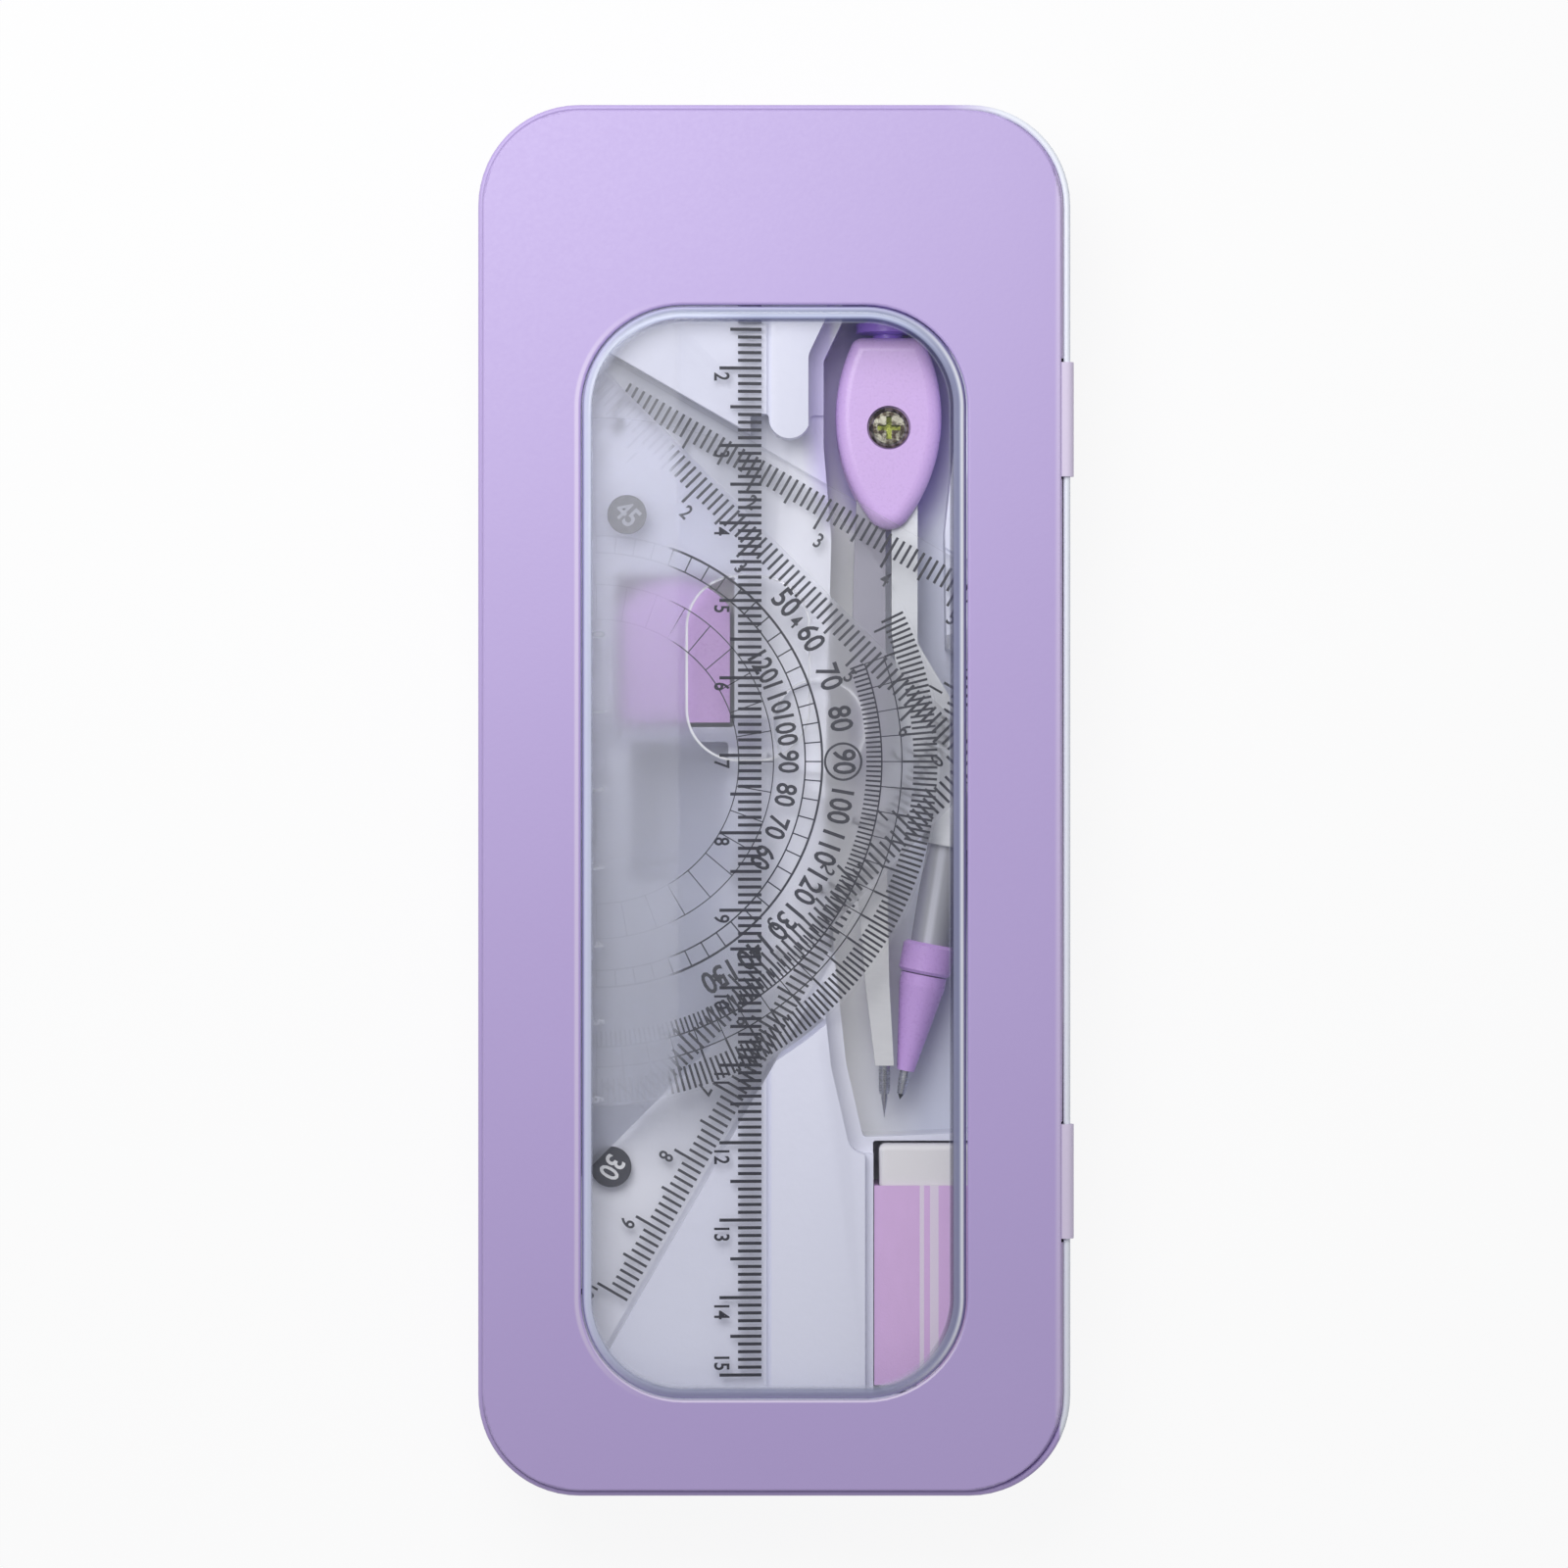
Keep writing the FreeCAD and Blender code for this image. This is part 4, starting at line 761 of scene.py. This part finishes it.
FINISHES = {
    "base_tin": enamel("base_enamel", bare_in_base, pale_in_base, RIM_HIGHLIGHT),
    "lid_tin": enamel("lid_enamel", bare_in_lid, pale_in_lid, HIGHLIGHT_LAVENDER),
    "window_pane": window_pane(),
    "tray": formed_sheet(),
    "ruler": ruler_plastic(),
    "protractor": clear_plastic("protractor_plastic"),
    "set_square_45": clear_plastic("square_45_plastic"),
    "set_square_60": clear_plastic("square_60_plastic"),
    "eraser_block": moulded("eraser_vinyl", ERASER_WHITE, 0.62, grain=1200.0),
    "eraser_sleeve": striped_card(),
    "sharpener_body": moulded("sharpener_plastic", SHARPENER_PLUM, 0.3),
    "sharpener_blade": metal("blade_steel", STEEL, 0.25),
    "sharpener_screw": metal("blade_screw_steel", STEEL, 0.3, EVEN),
    "compass_front_cap": moulded("cap_plastic", CAP_LILAC, 0.3),
    "compass_back_cap": moulded("back_cap_plastic", CAP_LILAC, 0.3),
    "compass_handle": moulded("handle_plastic", HANDLE_VIOLET, 0.32),
    "compass_pivot_screw": screw_brass(),
    "compass_pivot_nut": metal("nut_brass", BRASS, 0.3, EVEN),
    "compass_washer": metal("washer_steel", STEEL, 0.3, EVEN),
    "needle_leg": needle_alloy(),
    "needle_ferrule": metal("ferrule_steel", FERRULE_STEEL, 0.25),
    "needle": metal("needle_steel", NEEDLE_STEEL, 0.2),
    "pencil_leg": metal("pencil_leg_alloy", ALLOY, 0.5),
    "lead_barrel": tube_plastic(),
    "lead_collar": moulded("collar_plastic", CONE_VIOLET, 0.3),
    "lead_collet": metal("collet_brass", BRASS, 0.3),
    "lead_stick": moulded("graphite", GRAPHITE, 0.4),
    "nose_cone": moulded("cone_plastic", CONE_VIOLET, 0.3),
    "nose_tip": metal("tip_steel", FERRULE_STEEL, 0.25),
}
for node_name, node_finish in FINISHES.items():
    nodes[node_name].data.materials.clear()
    nodes[node_name].data.materials.append(node_finish.material)


# Pieces made from copies of the solids


def roll_over(sheet, level, shoulder):
    """Rounds the edges of the ledge at one height where it turns down into a pocket."""
    tolerance = 0.01
    choose(sheet)
    bpy.ops.object.mode_set(mode="EDIT")
    bpy.ops.mesh.select_mode(type="EDGE")
    bpy.ops.mesh.select_all(action="DESELECT")
    bpy.ops.mesh.edges_select_sharp(sharpness=SHARP_ANGLE)
    leave_edit()
    points = sheet.data.vertices
    for edge in sheet.data.edges:
        off = max(abs(points[end].co.z - level * MM) for end in edge.vertices)
        edge.select = edge.select and off < tolerance * MM
    bpy.ops.object.mode_set(mode="EDIT")
    bpy.ops.mesh.bevel(offset=shoulder * MM, segments=3, affect="EDGES", clamp_overlap=True)
    bpy.ops.mesh.select_mode(type="VERT")
    leave_edit()


def formed_tray():
    """A copy of the tray whose deck and ledges roll over into the pockets."""
    sheet = copy_of("tray", "formed_tray", join_flat=True)
    for level, shoulder in ((14.8, 0.4), (13.9, 0.35), (10.5, 0.22), (9.9, 0.22)):
        roll_over(sheet, level, shoulder)
    smooth(sheet)
    dress(sheet, FINISHES["tray"].material)
    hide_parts("tray")


def card_side(face, side):
    """True for a wall of the sleeve that stands on one side and faces that way."""
    return side * face.normal.x > 0.9 and side * (face.center.x - SLEEVE_MIDDLE * MM) > 0.0


def paper_sleeve():
    """A copy of the eraser's sleeve whose card bows out a little at both sides."""
    bow = 0.24
    sleeve = copy_of("eraser_sleeve", "paper_sleeve")
    for side in (-1.0, 1.0):
        choose_faces(sleeve, lambda face: card_side(face, side))
        bpy.ops.transform.translate(value=(side * bow * MM, 0.0, 0.0))
        leave_edit()
    smooth(sleeve)
    dress(sleeve, FINISHES["eraser_sleeve"].material, SLEEVE_BODY)
    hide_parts("eraser_sleeve")


def lid_skirt(face):
    """True for the outer side of the lid's skirt, without the hinge tabs."""
    outward = face.normal.x * face.center.x + face.normal.y * face.center.y > 0.0
    return abs(face.normal.z) < 0.2 and outward and face.center.x < HINGE_CURL * MM


def lid_hem():
    """The turned hem of the lid, which half closes the seam between its skirt and the pan."""
    top = 17.22
    foot = 16.75
    width = 0.24
    hem = copy_of("lid_tin", "lid_hem")
    choose_faces(hem, lambda face: not lid_skirt(face))
    bpy.ops.mesh.delete(type="FACE")
    for height, above in ((top, True), (foot, False)):
        bpy.ops.mesh.select_all(action="SELECT")
        bpy.ops.mesh.bisect(
            plane_co=(0.0, 0.0, height * MM), plane_no=UP, clear_outer=above, clear_inner=not above
        )
    bpy.ops.mesh.select_all(action="SELECT")
    bpy.ops.mesh.extrude_region_shrink_fatten(TRANSFORM_OT_shrink_fatten={"value": width * MM})
    turn_outward()
    smooth(hem)
    call(hem, "lid_hem")
    dress(hem, FINISHES["lid_tin"].material, LID_BODY)


formed_tray()
paper_sleeve()
lid_hem()


# Printed scales: each is drawn flat, reading along +X with its edge at Y = 0, then laid on its tool


def stroke(near, far, width):
    """One printed stroke across the scale, with sloping sides."""
    taper = (0.85, 0.99, 1.0)
    clear_choice()
    bpy.ops.mesh.primitive_cube_add(size=1.0)
    mark = bpy.context.object
    mark.scale = (width * MM, (far - near) * MM, INK_THICK * MM)
    mark.location = (0.0, -(near + far) / 2 * MM, INK_LEVEL * MM)
    settle(mark)
    choose_faces(mark, faces_up)
    bpy.ops.transform.resize(value=taper)
    leave_edit()
    return mark


def stroke_row(count, pitch, near, far, width):
    """Strokes side by side along +X, each from near to far below the edge."""
    row = stroke(near, far, width)
    choose(row)
    array = row.modifiers.new("array", "ARRAY")
    array.count = count
    array.use_relative_offset = False
    array.use_constant_offset = True
    array.constant_offset_displace = (pitch * MM, 0.0, 0.0)
    bpy.ops.object.modifier_apply(modifier=array.name)
    return row


def centimetre_strokes(centimetres, edge, fine, half, full, width):
    """Millimetre strokes, carried on at each half and again at each whole centimetre."""
    return [
        stroke_row(10 * centimetres + 1, 1.0, edge, fine, width),
        stroke_row(2 * centimetres + 1, 5.0, fine, half, width),
        stroke_row(centimetres + 1, 10.0, half, full, width),
    ]


def number(words, size, x, y, turn=0.0, level=INK_LEVEL, side="CENTER"):
    """A printed number, narrow as on drawing tools, its middle or one side at a place."""
    narrow = 0.82
    weight = 0.018
    clear_choice()
    bpy.ops.object.text_add()
    text = bpy.context.object
    text.data.body = words
    text.data.size = size * MM
    text.data.align_x = side
    text.data.align_y = "CENTER"
    text.data.resolution_u = 3
    text.data.offset = weight * size * MM
    text.data.extrude = INK_THICK * MM / 2
    bpy.ops.object.convert(target="MESH")
    figure = bpy.context.object
    figure.scale = (narrow, 1.0, 1.0)
    figure.rotation_euler = (0.0, 0.0, turn)
    figure.location = (x * MM, y * MM, level * MM)
    settle(figure)
    return figure


def lay(thing, place, top, turn=0.0, slope=0.0):
    """Turns a flat print about Z, tips it about Y and sets it in the top face of its tool."""
    thing.rotation_euler = (0.0, 0.0, turn)
    settle(thing)
    thing.rotation_euler = (0.0, slope, 0.0)
    thing.location = (place[0] * MM, place[1] * MM, top * MM)
    settle(thing)


def ruler_scale():
    """Fifteen centimetres on the bevelled edge; numbers follow their strokes, the last leads."""
    last = 15
    size = 2.75
    beside = 0.55
    below = 5.9
    lift = 0.03
    marks = centimetre_strokes(last, edge=0.65, fine=3.7, half=4.7, full=6.1, width=0.42)
    for count in range(last):
        marks.append(number(str(count), size, 10.0 * count + beside, -below, side="LEFT"))
    marks.append(number(str(last), size, 10.0 * last - beside, -below, side="RIGHT"))
    scale = joined("ruler_scale", marks)
    lay(scale, (RULER_RIGHT, RULER_ZERO), RULER_EDGE_TOP + lift, -QUARTER_TURN, RULER_SLOPE)
    dress(scale, ink)


def ruler_back_scale():
    """Faint figures along the plain edge, read from the other side."""
    size = 2.4
    start = (-22.8, 21.4)
    figures = [number(str(count), size, 10.0 * count, 0.0) for count in range(7)]
    scale = joined("ruler_back_scale", figures)
    lay(scale, start, RULER_EDGE_TOP + RULER_RISE, -QUARTER_TURN)
    dress(scale, faint_ink)


def along(start, end, distance):
    """The point at a distance from one corner towards another, and the heading of that line."""
    across, up = end[0] - start[0], end[1] - start[1]
    length = math.hypot(across, up)
    point = (start[0] + across * distance / length, start[1] + up * distance / length)
    return point, math.atan2(up, across)


def leg_scale(name, start, end, zero, centimetres, top, edge, below, material):
    """A scale on one leg of a set square, read from outside the square."""
    size = 2.7
    beside = 1.3
    fine, half, full = edge + 2.8, edge + 3.5, edge + 4.5
    marks = centimetre_strokes(centimetres, edge, fine, half, full, width=0.36)
    for count in range(centimetres + 1):
        marks.append(number(str(count), size, 10.0 * count + beside, -below))
    scale = joined(name, marks)
    place, heading = along(start, end, zero)
    lay(scale, place, top, heading)
    dress(scale, material)


def angle_badge(name, words, place, radius, top, turn, material, figure_material):
    """A printed disc with the angle of its corner left light in it."""
    disc_level = -0.075
    figure_level = -0.01 - INK_THICK / 2
    clear_choice()
    bpy.ops.mesh.primitive_cylinder_add(vertices=48, radius=radius * MM, depth=INK_THICK * MM)
    disc = bpy.context.object
    disc.location = (place[0] * MM, place[1] * MM, (top + disc_level) * MM)
    settle(disc)
    choose_faces(disc, faces_up)
    bpy.ops.mesh.inset(thickness=0.02 * MM)
    leave_edit()
    call(disc, name)
    dress(disc, material)
    figures = number(words, 3.7, 0.0, 0.0, level=figure_level)
    figures = joined(name + "_figures", [figures])
    lay(figures, place, top, turn)
    dress(figures, figure_material)


def ring_arc(radius, width, top):
    """A printed arc on the +X side of the middle, from straight down up to an angle in degrees."""
    clear_choice()
    bpy.ops.mesh.primitive_plane_add(size=1.0, rotation=(QUARTER_TURN, 0.0, QUARTER_TURN))
    arc = bpy.context.object
    arc.scale = (width * MM, INK_THICK * MM, 1.0)
    arc.location = (0.0, -radius * MM, INK_LEVEL * MM)
    settle(arc)
    choose_faces(arc, any_face)
    bpy.ops.mesh.spin(steps=72, angle=-math.radians(90.0 + top), center=ORIGIN, axis=UP)
    turn_outward()
    return arc


def spokes(inner, outer, step, width, top):
    """Radial strokes from straight down up to an angle, a step of degrees apart."""
    sweep = 90.0 + top
    mark = stroke(inner, outer, width)
    choose_faces(mark, any_face)
    bpy.ops.mesh.spin(
        steps=round(sweep / step), dupli=True, angle=-math.radians(sweep), center=ORIGIN, axis=UP
    )
    leave_edit()
    return mark


def degree_numbers(radius, size, first, last, reverse):
    """Numbers each ten degrees, standing outwards, counted from the top or from the foot."""
    figures = []
    for degrees in range(first, last + 1, 10):
        angle = math.radians(degrees - 90) if reverse else math.radians(90 - degrees)
        x = radius * math.cos(angle)
        y = radius * math.sin(angle)
        figures.append(number(str(degrees), size, x, y, angle - QUARTER_TURN))
    return figures


def ring_round(x, y, radius, width):
    """A fine printed circle."""
    clear_choice()
    bpy.ops.mesh.primitive_torus_add(
        major_segments=40, minor_segments=4, major_radius=radius * MM, minor_radius=width / 2 * MM,
    )
    ring = bpy.context.object
    ring.scale = (1.0, 1.0, INK_THICK / width)
    ring.location = (x * MM, y * MM, INK_LEVEL * MM)
    settle(ring)
    return ring


# The protractor's rings end at these angles, in degrees above level
RIM_END = 26.0
RING_END = 20.0
TOP_END = 90.0

# Radial strokes: inner and outer radius, degrees apart, width and end
DEGREE_SPOKES = (
    (41.0, 44.1, 1.0, 0.32, RIM_END), (39.6, 41.0, 5.0, 0.3, RIM_END - 1.0),
    (36.9, 39.5, 5.0, 0.14, RING_END), (34.9, 36.8, 1.0, 0.26, RING_END),
    (27.0, 29.2, 5.0, 0.18, TOP_END), (18.4, 22.9, 10.0, 0.14, TOP_END),
)

# Arcs: radius, width and end
DEGREE_ARCS = (
    (39.5, 0.16, RING_END), (36.9, 0.2, RING_END), (29.2, 0.3, TOP_END),
    (27.0, 0.2, TOP_END), (22.9, 0.14, TOP_END), (18.4, 0.14, TOP_END),
)


def protractor_scale():
    """Degree strokes, rings of cells and two rows of numbers on the half disc, 90 in a circle."""
    outer_row = 31.9
    inner_row = 24.7
    marks = [spokes(*row) for row in DEGREE_SPOKES]
    marks += [ring_arc(*row) for row in DEGREE_ARCS]
    marks += degree_numbers(outer_row, 4.1, 50, 150, reverse=False)
    marks += degree_numbers(inner_row, 3.7, 60, 120, reverse=True)
    marks.append(ring_round(outer_row, 0.0, 2.35, 0.3))
    scale = joined("protractor_scale", marks)
    lay(scale, PROTRACTOR_CENTRE, PROTRACTOR_TOP)
    dress(scale, worn_ink)


def polished_edge(name, middle, half, corner, top, lit_side, faint):
    """The broken edge round an opening in a clear tool, bright on one side as a painted highlight.
    """
    width = 0.3
    depth = 0.12
    below_face = 0.01
    clear_choice()
    bpy.ops.mesh.primitive_plane_add(size=1.0)
    edge = bpy.context.object
    edge.scale = (2 * (half[0] + width) * MM, 2 * (half[1] + width) * MM, 1.0)
    edge.location = (middle[0] * MM, middle[1] * MM, (top - depth - below_face) * MM)
    settle(edge)
    choose_faces(edge, any_face)
    bpy.ops.mesh.bevel(affect="VERTICES", offset=(corner + width) * MM, segments=14)
    bpy.ops.mesh.select_all(action="SELECT")
    bpy.ops.mesh.inset(thickness=width * MM)
    bpy.ops.mesh.delete(type="FACE")
    raise_faces(depth)
    turn_outward()
    call(edge, name)
    dress(edge, bevel_gloss(name + "_gloss", middle, lit_side, faint).material)


def square_frost():
    """The roughened face of the 45 degree square: its underside, raised to just below its print."""
    rise = 1.24
    sheet = copy_of("set_square_45", "square_45_frosted_face", join_flat=True)
    choose_faces(sheet, lambda face: face.normal.z > -0.9)
    bpy.ops.mesh.delete(type="FACE")
    bpy.ops.mesh.select_all(action="SELECT")
    bpy.ops.transform.translate(value=(0.0, 0.0, rise * MM))
    raise_faces(INK_THICK)
    turn_outward()
    call(sheet, "square_45_frosted_face")
    dress(sheet, frosted_face().material)


ruler_scale()
ruler_back_scale()
square_frost()
protractor_scale()
polished_edge(
    "square_45_slot_edge", middle=(-3.4, 17.1), half=(7.8, 11.8), corner=6.5,
    top=SQUARE_45_TOP, lit_side=(-0.8, -0.6), faint=0.4,
)
polished_edge(
    "square_60_hole_edge", middle=(5.8, 9.6), half=(5.9, 5.9), corner=5.85,
    top=SQUARE_60_TOP, lit_side=(0.75, 0.66), faint=0.1,
)
leg_scale(
    "square_60_short_scale", SQUARE_60_LEFT, SQUARE_60_CORNER, zero=11.9, centimetres=6,
    top=SQUARE_60_TOP, edge=1.4, below=7.0, material=ink,
)
leg_scale(
    "square_60_long_scale", SQUARE_60_CORNER, SQUARE_60_FOOT, zero=4.7, centimetres=10,
    top=SQUARE_60_TOP, edge=0.5, below=5.6, material=ink,
)
leg_scale(
    "square_45_upper_scale", SQUARE_45_LEFT, SQUARE_45_CORNER, zero=8.0, centimetres=7,
    top=SQUARE_45_TOP, edge=0.5, below=5.6, material=worn_ink,
)
leg_scale(
    "square_45_lower_scale", SQUARE_45_CORNER, SQUARE_45_FOOT, zero=4.0, centimetres=6,
    top=SQUARE_45_TOP, edge=0.5, below=5.6, material=worn_ink,
)
angle_badge(
    "square_60_badge", "30", place=(-21.2, -47.6), radius=2.65, top=SQUARE_60_TOP,
    turn=math.radians(-120), material=ink, figure_material=white_ink,
)
angle_badge(
    "square_45_badge", "45", place=(-19.1, 37.0), radius=2.55, top=SQUARE_45_TOP,
    turn=math.radians(-45), material=grey_ink, figure_material=faint_ink,
)


# Floor, light and camera, in metres


def pale_floor():
    """Pale paper that looks white to the camera, also in reflections and through clear pieces."""
    clear_choice()
    bpy.ops.mesh.primitive_plane_add(size=6.0, location=(0.0, 0.0, -0.0002))
    ground = bpy.context.object
    ground.name = "floor"
    finish = Finish("floor_paper").put(Roughness=0.9)
    paper = finish.blend(finish.speckle(20.0), (0.86, 0.86, 0.87), (0.88, 0.88, 0.89))
    finish.drive("Base Color", paper)
    glow = finish.node("ShaderNodeEmission")
    glow.inputs["Color"].default_value = (1.0, 1.0, 1.0, 1.0)
    rays = finish.node("ShaderNodeLightPath").outputs
    seen = finish.most(rays["Is Camera Ray"], rays["Is Glossy Ray"], rays["Is Transmission Ray"])
    mixed = finish.node("ShaderNodeMixShader")
    finish.link(finish.times(seen, 0.9), mixed.inputs["Fac"])
    finish.link(finish.shader.outputs[0], mixed.inputs[1])
    finish.link(glow.outputs[0], mixed.inputs[2])
    finish.link(mixed.outputs[0], finish.output.inputs["Surface"])
    ground.data.materials.append(finish.material)


def lamp(name, place, aim, size, power):
    """A square soft box that faces a point."""
    clear_choice()
    bpy.ops.object.light_add(type="AREA", location=place)
    box = bpy.context.object
    box.name = name
    box.data.shape = "SQUARE"
    box.data.size = size
    box.data.energy = power
    x, y, z = (there - here for here, there in zip(place, aim))
    box.rotation_euler = (math.atan2(math.hypot(x, y), -z), 0.0, math.atan2(x, -y) + math.pi)


def studio():
    world = bpy.context.scene.world or bpy.data.worlds.new("studio")
    bpy.context.scene.world = world
    world.use_nodes = True
    sky = world.node_tree.nodes["Background"]
    sky.inputs["Color"].default_value = (0.95, 0.96, 1.0, 1.0)
    sky.inputs["Strength"].default_value = 0.38
    lamp("head_light", place=(-0.075, 0.165, 0.27), aim=(0.0, 0.05, 0.0), size=0.22, power=0.68)


def overhead_camera():
    """Straight down, its middle a little towards the hinge and the compass handle."""
    distance = 650.0
    ruler_level = 15.0
    pixels_per_mm = 7.905
    picture = 1600.0
    sensor = 36.0
    clear_choice()
    bpy.ops.object.camera_add(location=(1.25 * MM, 2.1 * MM, (distance + ruler_level) * MM))
    camera = bpy.context.object
    camera.name = "camera"
    camera.rotation_euler = ORIGIN
    camera.data.sensor_width = sensor
    camera.data.lens = sensor * distance * pixels_per_mm / picture
    camera.data.clip_start = 0.01
    camera.data.clip_end = 20.0
    bpy.context.scene.camera = camera


pale_floor()
studio()
overhead_camera()
view = bpy.context.scene
view.view_settings.view_transform = "Standard"
view.cycles.transparent_max_bounces = 64
view.cycles.max_bounces = 24
view.cycles.transmission_bounces = 16
